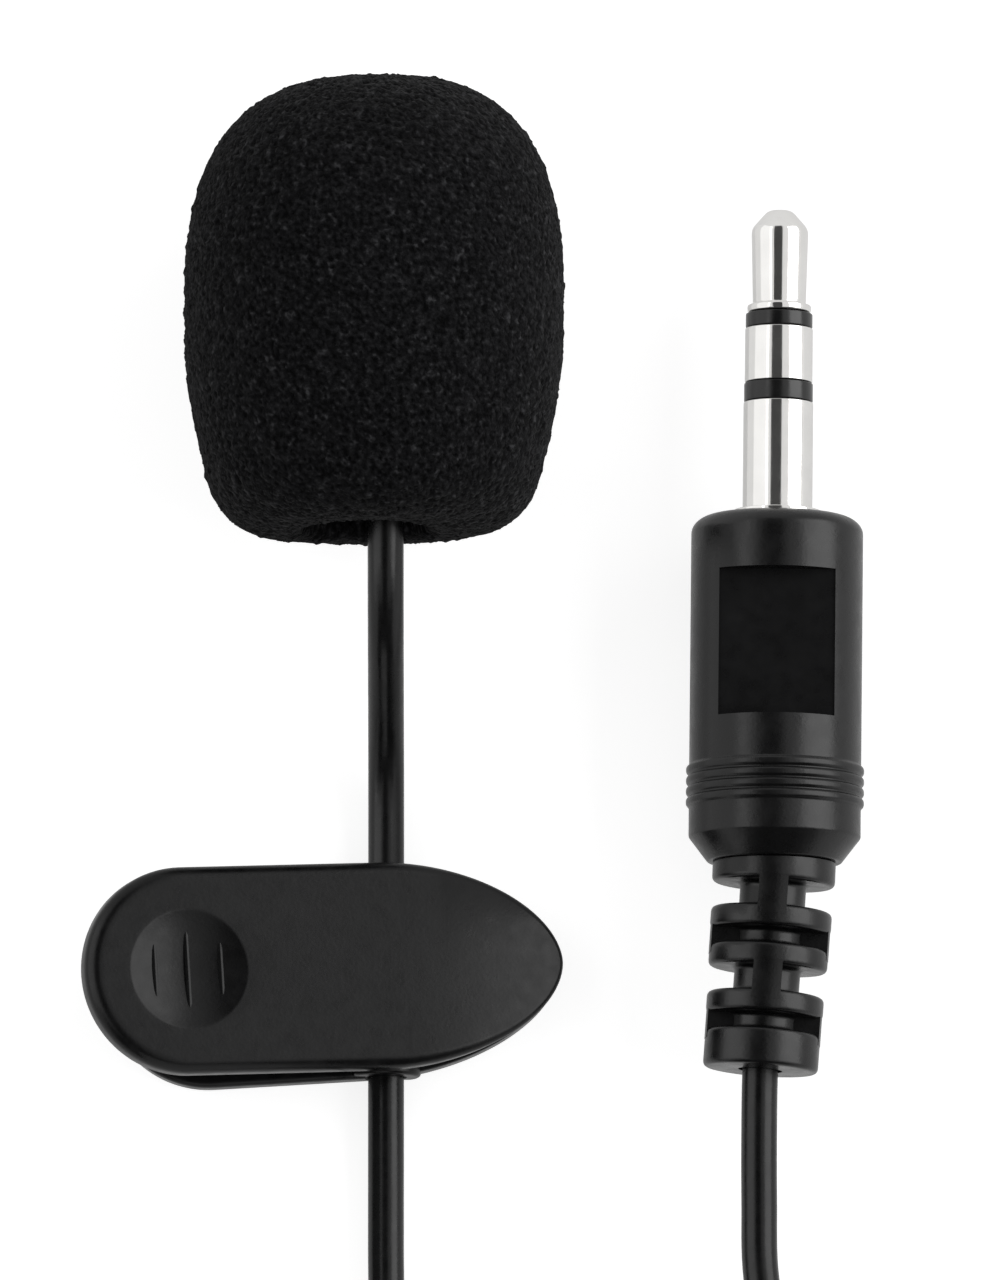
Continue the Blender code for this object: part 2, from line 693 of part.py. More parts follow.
def tooth(x, face, height):
    """A low ridge across the jaw, standing on the face at a height, up or down."""
    half = abs(height)
    root = face - math.copysign(UNION_OVERLAP, height)
    outline = [(x - half, root), (x + half, root), (x + half, face), (x, face + height), (x - half, face)]
    return across(prism(outline, -TOOTH_SPAN / 2, TOOTH_SPAN / 2))


def make_rear_lever(surfaces, parent):
    plate = lever_plate(
        JAW_TIP_X, CLIP_LENGTH - REAR_LEVER_SHORTER, 0.0, REAR_THICKNESS, REAR_EDGE_RADIUS, REAR_THICKNESS
    )
    lever = add_solid("clip_rear_lever", plate, surfaces["clip"], parent)
    hinge = (HINGE_X, 0.0, HINGE_Z)
    for inside in (REAR_EAR_INSIDE, -REAR_EAR_INSIDE):
        join(lever, shifted(ear(-HINGE_TO_PLATE - UNION_OVERLAP, inside), hinge))
    for index in range(TOOTH_COUNT):
        x = JAW_TIP_X - FIRST_TOOTH_FROM_TIP - index * TOOTH_PITCH
        join(lever, tooth(x, REAR_THICKNESS, TOOTH_HEIGHT))
    groove = CABLE_RADIUS + GROOVE_CLEARANCE
    reach = CLIP_WIDTH / 2
    place = (CABLE_X, 0.0, CABLE_HEIGHT)
    rib = disc(groove + RIB_WALL, -reach + RIB_END_INSET, reach - RIB_END_INSET, SMALL_SEGMENTS)
    join(lever, along_cable(shifted(across(rib), place)))
    below = -groove - RIB_WALL - CUT_MARGIN
    cut(lever, block((-CLIP_LENGTH, -CLIP_WIDTH, below), (CLIP_LENGTH, CLIP_WIDTH, 0.0)))
    channel = disc(groove, -CLIP_WIDTH, CLIP_WIDTH, SMALL_SEGMENTS)
    cut(lever, along_cable(shifted(across(channel), place)))
    mouth_low = (CABLE_X - GROOVE_MOUTH / 2, -CLIP_WIDTH, below)
    mouth_high = (CABLE_X + GROOVE_MOUTH / 2, CLIP_WIDTH, CABLE_HEIGHT)
    cut(lever, along_cable(block(mouth_low, mouth_high)))
    cut(lever, shifted(hinge_hole(PRESS_FIT), hinge))


def dimple_cutter(face):
    """A shallow spherical cap below the face."""
    ball = (DIMPLE_RADIUS**2 + DIMPLE_DEPTH**2) / (2 * DIMPLE_DEPTH)
    profile = [(0.0, face - DIMPLE_DEPTH)]
    for step in range(1, DIMPLE_RINGS + 1):
        radius = DIMPLE_RADIUS * step / DIMPLE_RINGS
        profile.append((radius, face - DIMPLE_DEPTH + ball - math.sqrt(ball**2 - radius**2)))
    profile += [(DIMPLE_RADIUS, face + CUT_MARGIN), (0.0, face + CUT_MARGIN)]
    return turned(profile, FULL_SEGMENTS)


def make_front_lever(surfaces, parent):
    """The front lever about its hinge: X towards the jaw, Z out of its face."""
    inner = HINGE_TO_PLATE
    face = inner + FRONT_THICKNESS
    plate = lever_plate(HINGE_FROM_TIP, CLIP_LENGTH, inner, face, LEVER_EDGE_RADIUS, face)
    lever = add_solid("clip_front_lever", plate, surfaces["clip"], parent)
    for inside in (FRONT_EAR_INSIDE, -FRONT_EAR_INSIDE):
        join(lever, ear(HINGE_TO_PLATE + UNION_OVERLAP, inside))
    for index in range(TOOTH_COUNT - 1):
        x = HINGE_FROM_TIP - FIRST_TOOTH_FROM_TIP - (index + 0.5) * TOOTH_PITCH
        join(lever, tooth(x, inner, -TOOTH_HEIGHT))
    dimple_x = HINGE_FROM_TIP - CLIP_LENGTH + DIMPLE_FROM_END
    cut(lever, shifted(dimple_cutter(face), (dimple_x, 0.0, 0.0)))
    top = face - RIDGE_BELOW_FACE
    for index in range(RIDGE_COUNT):
        place = (index - (RIDGE_COUNT - 1) / 2) * RIDGE_PITCH
        reach = math.sqrt(RIDGE_REACH**2 - place**2)
        x = dimple_x + place
        low = (x - RIDGE_WIDTH / 2, -reach, face - DIMPLE_DEPTH - UNION_OVERLAP)
        join(lever, block(low, (x + RIDGE_WIDTH / 2, reach, top)))
    cut(lever, hinge_hole(RUNNING_FIT))


def lever_angle():
    """The angle between the levers that closes the jaw to its gap."""
    rise = HINGE_TO_PLATE - JAW_GAP
    return math.atan2(rise, HINGE_FROM_TIP) + math.asin(HINGE_TO_PLATE / math.hypot(HINGE_FROM_TIP, rise))


def make_hinge(surfaces, parent):
    """The hinge pin and the torsion spring round it, with a leg along each lever."""
    reach = REAR_EAR_INSIDE + EAR_THICKNESS + HINGE_PIN_OVERHANG
    pin = across(disc(HINGE_PIN_DIAMETER / 2, -reach, reach, PIN_SEGMENTS))
    add_solid("hinge_pin", shifted(pin, (HINGE_X, 0.0, HINGE_Z)), surfaces["steel"], parent)
    start = -math.pi / 2
    sweep = math.pi - lever_angle() + SPRING_WHOLE_CURLS * math.tau
    steps = round(sweep / math.tau * POINTS_PER_CURL)
    width = SPRING_PITCH * sweep / math.tau
    hinge = Vector((HINGE_X, 0.0, HINGE_Z))
    points = []
    for step in range(steps + 1):
        angle = start + sweep * step / steps
        y = width * (step / steps - 0.5)
        points.append(hinge + Vector((SPRING_RADIUS * math.cos(angle), y, SPRING_RADIUS * math.sin(angle))))
    rear_leg = Vector((-1.0, 0.0, 0.0))
    front_leg = Vector((-math.cos(lever_angle()), 0.0, math.sin(lever_angle())))
    middle = SPRING_LEG_LENGTH / 2
    points = [
        points[0] + rear_leg * SPRING_LEG_LENGTH,
        points[0] + rear_leg * middle,
        *points,
        points[-1] + front_leg * middle,
        points[-1] + front_leg * SPRING_LEG_LENGTH,
    ]
    gap = least_gap(points, SPRING_WIRE_DIAMETER, POINTS_PER_CURL // 2)
    print(f"torsion_spring: least gap to itself {gap * 1000:.2f} mm")
    add_tube("torsion_spring", points, SPRING_WIRE_DIAMETER, surfaces["steel"], 1, parent)


# Plug
def make_contacts(surfaces, parent):
    """The nested contacts and insulators, turned about Z with the tip up."""
    rod = TIP_ROD_DIAMETER / 2
    tip_tube = (rod + PRESS_FIT, rod + PRESS_FIT + CONTACT_WALL)
    ring_tube = (tip_tube[1] + PRESS_FIT, tip_tube[1] + PRESS_FIT + CONTACT_WALL)
    band_tube = (ring_tube[1] + PRESS_FIT, ring_tube[1] + PRESS_FIT + CONTACT_WALL)
    sleeve_bore = band_tube[1] + PRESS_FIT
    tail = -SLEEVE_TAIL
    collar_top = TIP_BAND_TOP + TIP_COLLAR_LENGTH
    tip = [
        (0.0, TIP_END),
        (TIP_NOSE_DIAMETER / 2, TIP_END),
        (TIP_DIAMETER / 2, TIP_END - TIP_NOSE_LENGTH),
        (TIP_NECK_DIAMETER / 2, collar_top),
        (TIP_COLLAR_DIAMETER / 2, collar_top),
        (TIP_COLLAR_DIAMETER / 2, TIP_BAND_TOP + SEAT_GAP),
        (rod, TIP_BAND_TOP + SEAT_GAP),
        (rod, tail - TAIL_STEP * TIP_TAIL_STEPS),
        (0.0, tail - TAIL_STEP * TIP_TAIL_STEPS),
    ]
    add_solid("plug_tip", turned(tip, SMALL_SEGMENTS), surfaces["nickel"], parent)
    stack = (
        ("tip_insulator", tip_tube, TIP_BAND_DIAMETER, RING_TOP, TIP_BAND_TOP, 3, "band"),
        ("plug_ring", ring_tube, RING_DIAMETER, RING_BAND_TOP, RING_TOP, 2, "nickel"),
        ("ring_insulator", band_tube, RING_BAND_DIAMETER, SLEEVE_TOP, RING_BAND_TOP, 1, "band"),
    )
    for name, (bore, shank), head, low, high, tail_steps, surface in stack:
        profile = [
            (bore, high),
            (head / 2, high),
            (head / 2, low + SEAT_GAP),
            (shank, low + SEAT_GAP),
            (shank, tail - TAIL_STEP * tail_steps),
            (bore, tail - TAIL_STEP * tail_steps),
        ]
        add_solid(name, turned(profile, SMALL_SEGMENTS, ring=True), surfaces[surface], parent)
    sleeve = [
        (sleeve_bore, SLEEVE_TOP),
        (SLEEVE_DIAMETER / 2, SLEEVE_TOP),
        (SLEEVE_DIAMETER / 2, FLANGE_PROUD),
        (FLANGE_DIAMETER / 2, FLANGE_PROUD),
        (FLANGE_DIAMETER / 2, -FLANGE_SUNK),
        (SLEEVE_DIAMETER / 2, -FLANGE_SUNK),
        (SLEEVE_DIAMETER / 2, tail),
        (sleeve_bore, tail),
    ]
    add_solid("plug_sleeve", turned(sleeve, SMALL_SEGMENTS, ring=True), surfaces["nickel"], parent)


def make_plug_body(surfaces, parent):
    radius = BODY_DIAMETER / 2
    front_bore = FLANGE_DIAMETER / 2 + PRESS_FIT
    mould_bore = MOULD_DIAMETER / 2 + PRESS_FIT
    rear_bore = RELIEF_SPIGOT_DIAMETER / 2 + PRESS_FIT
    profile = [(front_bore, 0.0)]
    for x, y in arc((0.0, 0.0), 1.0, math.pi / 2, 0.0, BODY_EDGE_STEPS):
        profile.append((radius - BODY_EDGE_WIDTH * (1 - x), -BODY_EDGE_DEPTH * (1 - y)))
    for index in range(GRIP_COUNT):
        top = -GRIP_START - index * GRIP_PITCH
        profile.append((radius, top))
        profile.append((GRIP_RADIUS, top - GRIP_GROOVE))
        profile.append((GRIP_RADIUS, top - GRIP_PITCH + GRIP_GROOVE))
    profile += [
        (radius, -GRIP_START - GRIP_COUNT * GRIP_PITCH),
        (radius, -BODY_LENGTH + CONE_LENGTH),
        (CONE_END_DIAMETER / 2, -BODY_LENGTH),
        (rear_bore, -BODY_LENGTH),
        (rear_bore, MOULD_REAR - SEAT_GAP),
        (mould_bore, MOULD_REAR - SEAT_GAP),
        (mould_bore, MOULD_FRONT),
        (front_bore, MOULD_FRONT),
    ]
    body = add_solid("plug_body", turned(profile, BODY_SEGMENTS, ring=True), surfaces["pvc"], parent)
    low = (-PANEL_WIDTH / 2, -radius - CUT_MARGIN, -PANEL_START - PANEL_LENGTH)
    cut(body, block(low, (PANEL_WIDTH / 2, PANEL_DEPTH - radius, -PANEL_START)))


def make_plug_core(surfaces, parent):
    """The inner mould behind the contacts, and the two wires in it."""
    tail_bore = SLEEVE_DIAMETER / 2 + PRESS_FIT
    wide_bore = MOULD_DIAMETER / 2 - MOULD_WALL
    step_z = -SLEEVE_TAIL - SEAT_GAP
    narrow_z = MOULD_REAR + MOULD_REAR_LENGTH
    mould = [
        (tail_bore, MOULD_FRONT),
        (MOULD_DIAMETER / 2, MOULD_FRONT),
        (MOULD_DIAMETER / 2, MOULD_REAR),
        (MOULD_REAR_BORE / 2, MOULD_REAR),
        (MOULD_REAR_BORE / 2, narrow_z),
        (wide_bore, narrow_z),
        (wide_bore, step_z),
        (tail_bore, step_z),
    ]
    add_solid("plug_inner_mould", turned(mould, SMALL_SEGMENTS, ring=True), surfaces["mould"], parent)
    start = MOULD_REAR
    tip_tail = -SLEEVE_TAIL - TAIL_STEP * TIP_TAIL_STEPS - SEAT_GAP
    sleeve_tail = -SLEEVE_TAIL - SEAT_GAP * 2
    shield_x = -(SLEEVE_DIAMETER - PLUG_WIRE_DIAMETER) / 2
    signal = [
        (PLUG_WIRE_OFFSET, 0.0, start),
        (PLUG_WIRE_OFFSET, 0.0, (start + tip_tail) / 2),
        (0.0, 0.0, tip_tail - PLUG_WIRE_DIAMETER * 2),
        (0.0, 0.0, tip_tail),
    ]
    shield = [
        (-PLUG_WIRE_OFFSET, 0.0, start),
        (-PLUG_WIRE_OFFSET, 0.0, narrow_z),
        (shield_x, 0.0, narrow_z + PLUG_WIRE_DIAMETER * 4),
        (shield_x, 0.0, sleeve_tail),
    ]
    add_tube("plug_signal_wire", signal, PLUG_WIRE_DIAMETER, surfaces["red"], 0, parent)
    add_tube("plug_shield_wire", shield, PLUG_WIRE_DIAMETER, surfaces["copper"], 0, parent)


def relief_lean(z):
    """Sideways lean of the strain relief at a height of the plug's axis."""
    reach = max(0.0, -BODY_LENGTH - z)
    return -RELIEF_LEAN * reach**2 / (reach + RELIEF_LEAN_EASE)


def relief_turn(z):
    """Angle that the strain relief has turned by at a height of the plug's axis."""
    reach = max(0.0, -BODY_LENGTH - z)
    slope = RELIEF_LEAN * (reach**2 + 2 * reach * RELIEF_LEAN_EASE) / (reach + RELIEF_LEAN_EASE) ** 2
    return math.atan(slope)


def web_outline(radius, half):
    """A bar along X with ends rounded to a radius about the origin."""
    reach = math.asin(half / radius)
    right = arc((0.0, 0.0), radius, -reach, reach, EDGE_STEPS)
    return right + [(-x, -y) for x, y in right]


def make_strain_relief(surfaces, parent):
    """Discs on a round core, with a web across each slot, turned a quarter from slot to slot."""
    core = RELIEF_CORE_DIAMETER / 2
    spigot = RELIEF_SPIGOT_DIAMETER / 2
    top = -BODY_LENGTH - SEAT_GAP
    profile = [(0.0, RELIEF_SPIGOT_FRONT), (spigot, RELIEF_SPIGOT_FRONT), (spigot, top)]
    webs = []
    for index in range(RELIEF_SLOT_COUNT + 1):
        share = index / RELIEF_SLOT_COUNT
        radius = (RELIEF_START_DIAMETER + (RELIEF_END_DIAMETER - RELIEF_START_DIAMETER) * share) / 2
        last = index == RELIEF_SLOT_COUNT
        bottom = top - (RELIEF_END_LENGTH if last else RELIEF_DISC_LENGTH)
        profile += [(radius, top), (radius, bottom)]
        if last:
            break
        top = bottom - RELIEF_SLOT_LENGTHS[index]
        profile += [(core, bottom), (core, top)]
        web = web_outline(radius - SEAT_GAP, RELIEF_WEB_WIDTH / 2)
        if index % 2 == 0:
            web = [(-y, x) for x, y in web]
        webs.append(prism(web, top - UNION_OVERLAP, bottom + UNION_OVERLAP))
    profile.append((0.0, bottom))
    relief = add_solid("strain_relief", turned(profile, BODY_SEGMENTS), surfaces["pvc"], parent)
    for web in webs:
        join(relief, web)
    bore = CABLE_RADIUS + RELIEF_CABLE_FIT
    levels = [bottom - CUT_MARGIN]
    for index in range(RELIEF_BORE_STEPS + 1):
        levels.append(bottom + (-BODY_LENGTH - bottom) * (index + 0.5) / (RELIEF_BORE_STEPS + 1))
    levels.append(RELIEF_SPIGOT_FRONT + CUT_MARGIN)
    cable_way = [(0.0, levels[0]), *((bore, level) for level in levels), (0.0, levels[-1])]
    cut(relief, turned(cable_way, SMALL_SEGMENTS))
    bend_solid(relief)


def bend_solid(solid):
    """Replaces an object's mesh by its finished one, bent to follow the cable."""
    bpy.context.view_layer.update()
    made = solid.evaluated_get(bpy.context.evaluated_depsgraph_get())
    data = bpy.data.meshes.new_from_object(made)
    for vert in data.vertices:
        x, y, z = vert.co
        turn = relief_turn(z)
        vert.co = (relief_lean(z) + x * math.cos(turn), y, z - x * math.sin(turn))
    for step in list(solid.modifiers):
        bpy.data.objects.remove(step.object, do_unlink=True)
    solid.modifiers.clear()
    solid.data = data


# Cable
def head_point(level):
    """A point on the axis of the tilted head."""
    along = Vector((0.0, math.cos(MIC_TILT), math.sin(MIC_TILT)))
    return Vector((MIC_X, FOAM_REAR_Y, MIC_HEIGHT)) + along * level


def plug_point(side, level):
    """A point level with the axis of the skewed plug."""
    offset = Matrix.Rotation(-PLUG_SKEW, 3, "Z") @ Vector((side, level, 0.0))
    return Vector((PLUG_X, SHOULDER_Y, PLUG_HEIGHT)) + offset


def make_cable_runs(surfaces):
    spacing = CABLE_DIAMETER * TUBE_SPACING
    lead_y = COIL_CENTRE[1] + CABLE_DIAMETER + CORD_GAP
    top = COIL_BASE + (COIL_LAYERS - 1) * COIL_PITCH
    mic_levels = (CABLE_END, BARREL_REAR, MIC_RECESS / 2)
    from_mic = [head_point(level) for level in mic_levels]
    mic_end = (COIL_CENTRE[0] - COIL_OUTER_RADIUS, lead_y, COIL_BASE)
    held_levels = [MOULD_REAR - SEAT_GAP, -BODY_LENGTH + RELIEF_END_LENGTH]
    for index in range(RELIEF_SLOT_COUNT + 1):
        held_levels.append(-BODY_LENGTH + (RELIEF_REAR + BODY_LENGTH) * index / RELIEF_SLOT_COUNT)
    held = [plug_point(relief_lean(z), z) for z in held_levels]
    plug_end = (COIL_CENTRE[0] + COIL_OUTER_RADIUS, lead_y, top)
    mic_run = smooth_route([*from_mic, *MIC_ROUTE, mic_end], spacing)
    plug_run = smooth_route([*held, *PLUG_ROUTE, plug_end], spacing)
    add_tube("cable_mic_run", mic_run, CABLE_DIAMETER, surfaces["pvc"], 2)
    add_tube("cable_plug_run", plug_run, CABLE_DIAMETER, surfaces["pvc"], 2)


def coil_point(turn):
    """A point of the stored cable after so many turns, from its outer end on the bottom layer."""
    span = TURNS_PER_LAYER + REVERSING_TURN
    layer = min(int(turn / span), COIL_LAYERS - 1)
    within = turn - layer * span
    climbing = max(0.0, within - TURNS_PER_LAYER)
    travel = COIL_PITCH * min(within, TURNS_PER_LAYER)
    travel += COIL_PITCH * (climbing - climbing**2 / REVERSING_TURN)
    radius = COIL_INNER_RADIUS + travel if layer % 2 else COIL_OUTER_RADIUS - travel
    ease = (1 - math.cos(math.pi * climbing / REVERSING_TURN)) / 2
    angle = math.pi + turn * math.tau
    return Vector(
        (
            COIL_CENTRE[0] + radius * math.cos(angle),
            COIL_CENTRE[1] + radius * math.sin(angle),
            COIL_BASE + (layer + ease) * COIL_PITCH,
        )
    )


def make_coil(surfaces):
    turns = COIL_LAYERS * TURNS_PER_LAYER + (COIL_LAYERS - 1) * REVERSING_TURN
    steps = round(turns * POINTS_PER_LOOP)
    points = [coil_point(turns * step / steps) for step in range(steps + 1)]
    lead = Vector((0.0, CABLE_DIAMETER, 0.0))
    points = [points[0] + lead, *points, points[-1] + lead]
    gap = least_gap(points, CABLE_DIAMETER, POINTS_PER_LOOP // 2)
    print(f"cable_coil: {turns} loops, least gap to itself {gap * 1000:.2f} mm")
    add_tube("cable_coil", points, CABLE_DIAMETER, surfaces["pvc"], 1)


def rounded_frame(near, far, low, high, corner):
    """A rectangle with rounded corners."""
    points = []
    for centre_x, centre_y, start in (
        (far - corner, high - corner, 0.0),
        (near + corner, high - corner, math.pi / 2),
        (near + corner, low + corner, math.pi),
        (far - corner, low + corner, math.pi * 1.5),
    ):
        points += arc((centre_x, centre_y), corner, start, start + math.pi / 2, TIE_CORNER_STEPS)
    return points


def twisted_bar(start, length, height):
    """A square bar along Z whose sides wind round it, like the ends of a wire tie."""
    shape = bmesh.new()
    loops = []
    for step in range(TIE_TAIL_STEPS + 1):
        turn = math.tau * TIE_TAIL_TURNS * step / TIE_TAIL_STEPS
        loop = []
        for corner in range(4):
            angle = turn + corner * math.pi / 2
            x = height[0] + TIE_TAIL_SIZE / 2 * math.cos(angle)
            y = height[1] + TIE_TAIL_SIZE / 2 * math.sin(angle)
            loop.append(shape.verts.new((x, y, start + length * step / TIE_TAIL_STEPS)))
        loops.append(loop)
    for lower, upper in zip(loops, loops[1:]):
        for i in range(4):
            j = (i + 1) % 4
            shape.faces.new((lower[i], lower[j], upper[j], upper[i]))
    shape.faces.new(loops[0][::-1])
    shape.faces.new(loops[-1])
    bmesh.ops.recalc_face_normals(shape, faces=shape.faces)
    return shape


def make_ties(surfaces):
    """Two wire ties round the coil, on the sides towards and away from the microphone."""
    near = COIL_INNER_RADIUS - COIL_BULGE - CABLE_RADIUS - TIE_CLEARANCE
    far = COIL_OUTER_RADIUS + COIL_BULGE + CABLE_RADIUS + TIE_CLEARANCE
    top = COIL_BASE + (COIL_LAYERS - 1) * COIL_PITCH + CABLE_RADIUS + TIE_CLEARANCE
    wall = TIE_THICKNESS
    for name, turn in (("cable_tie_near", 0.0), ("cable_tie_far", math.pi)):
        place = frame(f"{name}_frame", (*COIL_CENTRE, 0.0), (math.pi / 2, 0.0, turn + math.pi / 2))
        outer = rounded_frame(near - wall, far + wall, 0.0, top + wall, TIE_CORNER_RADIUS + wall)
        inner = rounded_frame(near, far, wall, top, TIE_CORNER_RADIUS)
        band = prism(outer, -TIE_WIDTH / 2, TIE_WIDTH / 2)
        tie = add_solid(name, band, surfaces["rubber"], place)
        cut(tie, prism(inner, -TIE_WIDTH, TIE_WIDTH))
        height = ((near + far) / 2, top + wall + TIE_TAIL_SIZE / 4)
        join(tie, twisted_bar(-TIE_WIDTH / 4, TIE_TAIL_LENGTH, height))


def main():
    clear_scene()
    surfaces = make_finishes()
    mic_frame = frame("mic_frame", head_point(0.0), (MIC_TILT - math.pi / 2, 0.0, 0.0))
    make_foam(surfaces, mic_frame)
    make_head_shell(surfaces, mic_frame)
    make_grille_cap(surfaces, mic_frame)
    make_capsule(surfaces, mic_frame)
    make_head_wiring(surfaces, mic_frame)
    clip_frame = frame("clip_frame", (0.0, 0.0, 0.0), (0.0, 0.0, CLIP_SKEW))
    hinge_place = (HINGE_X, 0.0, HINGE_Z)
    lever_frame = frame("lever_frame", hinge_place, (0.0, lever_angle(), 0.0), clip_frame)
    make_rear_lever(surfaces, clip_frame)
    make_front_lever(surfaces, lever_frame)
    make_hinge(surfaces, clip_frame)
    plug_frame = frame("plug_frame", plug_point(0.0, 0.0), (-math.pi / 2, 0.0, -PLUG_SKEW))
    make_contacts(surfaces, plug_frame)
    make_plug_body(surfaces, plug_frame)
    make_plug_core(surfaces, plug_frame)
    make_strain_relief(surfaces, plug_frame)
    make_cable_runs(surfaces)
    make_coil(surfaces)
    make_ties(surfaces)


main()
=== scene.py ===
"""Looks of a clip-on lavalier microphone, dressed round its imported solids.

Sizes are in metres, in the frame of the solids: +X runs along the clip to its jaw, +Y along the
cable to the microphone head, and +Z up from the table.
"""

import json
import math

import bmesh
import bpy
import numpy as np
from mathutils import Matrix, Vector, noise

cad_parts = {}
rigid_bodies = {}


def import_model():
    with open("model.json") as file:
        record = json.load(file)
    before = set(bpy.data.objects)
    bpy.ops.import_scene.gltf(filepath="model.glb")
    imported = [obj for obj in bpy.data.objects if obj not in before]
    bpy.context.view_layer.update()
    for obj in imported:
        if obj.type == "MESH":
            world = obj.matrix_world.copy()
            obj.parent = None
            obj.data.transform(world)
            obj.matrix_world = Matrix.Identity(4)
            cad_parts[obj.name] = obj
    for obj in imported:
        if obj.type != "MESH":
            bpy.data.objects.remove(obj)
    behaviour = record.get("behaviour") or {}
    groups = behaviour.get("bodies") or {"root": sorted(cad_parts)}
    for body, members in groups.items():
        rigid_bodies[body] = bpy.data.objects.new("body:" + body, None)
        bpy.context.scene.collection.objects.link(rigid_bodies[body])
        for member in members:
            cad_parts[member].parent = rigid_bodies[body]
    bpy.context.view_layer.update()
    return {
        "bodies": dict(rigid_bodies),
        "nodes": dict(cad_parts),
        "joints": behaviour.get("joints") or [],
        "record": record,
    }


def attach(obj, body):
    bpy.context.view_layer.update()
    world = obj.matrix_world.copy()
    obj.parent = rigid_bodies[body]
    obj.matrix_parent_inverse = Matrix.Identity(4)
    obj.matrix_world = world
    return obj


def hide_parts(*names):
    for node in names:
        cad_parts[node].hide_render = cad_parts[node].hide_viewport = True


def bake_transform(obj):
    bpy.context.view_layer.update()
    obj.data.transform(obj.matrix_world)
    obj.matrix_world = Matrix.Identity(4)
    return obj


# View of the photograph
VIEW_TARGET = Vector((0.00885, 0.016605, 0.0045))
VIEW_ELEVATION = math.radians(82)
VIEW_DISTANCE = 1.2
VIEW_HEIGHT = 0.064
VIEW_NEAR = 0.01
VIEW_FAR = 10.0
SENSOR = 36.0

# Places of the groups
MIC_PLACE = (0.0032, 0.02123, 0.00885)
MIC_TILT = math.radians(3.5)
PLUG_PLACE = (0.02278, 0.02284, 0.00445)
PLUG_SKEW = math.radians(0.6)
CLIP_SKEW = math.radians(3.4)
ALONG_Y = Matrix.Rotation(-math.pi / 2, 4, "X")
MIC_FRAME = Matrix.Translation(MIC_PLACE) @ Matrix.Rotation(MIC_TILT, 4, "X") @ ALONG_Y
PLUG_FRAME = Matrix.Translation(PLUG_PLACE) @ Matrix.Rotation(-PLUG_SKEW, 4, "Z") @ ALONG_Y
CLIP_FRAME = Matrix.Rotation(CLIP_SKEW, 4, "Z")

# Small forms and mesh densities
EDGE = 0.00006
SEAT_GAP = 0.00005
PRESS_FIT = 0.00006
RUNNING_FIT = 0.00012
WELD = 1e-7
UNION_OVERLAP = 0.0002
CUT_MARGIN = 0.001
SMOOTH_ANGLE = math.radians(32)
LATHE_SEGMENTS = 112
SMALL_SEGMENTS = 64
ROUND_STEPS = 4
ROUND_LIMIT = 0.45
FLAT_NORMAL = 0.99

# Finishes, with pattern scales in cells per metre
MOULD_GRAIN = 5200.0
BLOTCH_SCALE = 420.0
GLOSS_SCALE = 1300.0
RIPPLE_SCALE = 700.0
NOISE_LOW = 0.3
NOISE_HIGH = 0.7
COLOUR_VARIATION = 0.22
GLOSS_SPREAD = (-0.05, 0.06)
HAZE_SCALE = 900.0
HAZE_TONE = 0.95
HAZE_SPREAD = (0.7, 1.4)
FOAM_SHEEN = 0.06
# Painted shade in the foam's pores
FOAM_PORE_SHADE = -0.18
# Painted glints on a few specks of the foam
FOAM_GLINT_TONE = 0.26
FOAM_GLINT_RANGE = (0.6, 0.78)
FOAM_GRAIN_SCALE = 3600.0
# Scale of the foam's painted glints
FOAM_GLINT_SCALE = 2300.0
FOAM_BUMP = 0.00016
GAUZE_SCALE = 2100.0
GAUZE_BUMP = 0.00004

# Foam windscreen
FOAM_RADIUS = 0.00948
FOAM_FRONT_LENGTH = 0.0119
FOAM_REAR_LENGTH = 0.0111
FOAM_OFFSET = -0.00058
FOAM_FRONT_EXPONENT = 2.72
FOAM_REAR_RADIUS = 0.0073
FOAM_CORNER_RADIUS = 0.0036
FOAM_MOUTH_RADIUS = 0.0007
FOAM_BORE = 0.0039
FOAM_BORE_DEPTH = 0.0175
FOAM_LIP_BORE = 0.0031
FOAM_LIP_DEPTH = 0.001
FOAM_LIP_END = 0.0028
FOAM_LIP_OFFSET = -0.00104
FOAM_SPACING = 0.000148
FOAM_BORE_SPACING = 0.0006
FOAM_AROUND = 404
FOAM_FINE_STEPS = 400
FOAM_CORNER_STEPS = 60
FOAM_MOUTH_STEPS = 16
FOAM_CELL = 0.00034
FOAM_CELL_DEPTH = 0.00011
FOAM_STRUT_SHARE = 0.04
FOAM_PORE_SHARE = 0.36
FOAM_STRUT_RISE = 0.15
FOAM_LUMP = 0.0032
FOAM_LUMP_HEIGHT = 0.00004
FOAM_GRAIN = 0.0007
FOAM_GRAIN_HEIGHT = 0.00005
FOAM_TUFT = 0.00042
FOAM_TUFT_START = 0.22
FOAM_TUFT_HEIGHT = 0.00018
FOAM_SKEW = 0.015
FOAM_LIP_RECESS = 0.0005
FOAM_LIP_RANGE = (-0.001, 0.0046)
FOAM_LIP_REACH = 0.004

# Microphone head, from the cable to the front
BUSH_BORE = 0.00096
BUSH_REAR_RADIUS = 0.0017
BUSH_REAR = 0.0016
BUSH_TAPER_END = 0.00355
BUSH_FRONT = 0.0062
BARREL_REAR = 0.0042
BARREL_FRONT = 0.01425
BARREL_RADIUS = 0.0037
BARREL_BORE = 0.0031
SPIGOT_RADIUS = BARREL_BORE - PRESS_FIT
CAP_REAR = BARREL_FRONT + SEAT_GAP
CAP_FRONT = 0.0173
CAP_WALL = 0.0006
CAP_EDGE_RADIUS = 0.0009
CAP_BORE = 0.00259
CAP_SPIGOT_LENGTH = 0.0015
CAP_SLOT_COUNT = 5
CAP_SLOT_PITCH = 0.001
CAP_SLOT_WIDTH = 0.0005
CAP_SLOT_SPAN = 0.0046

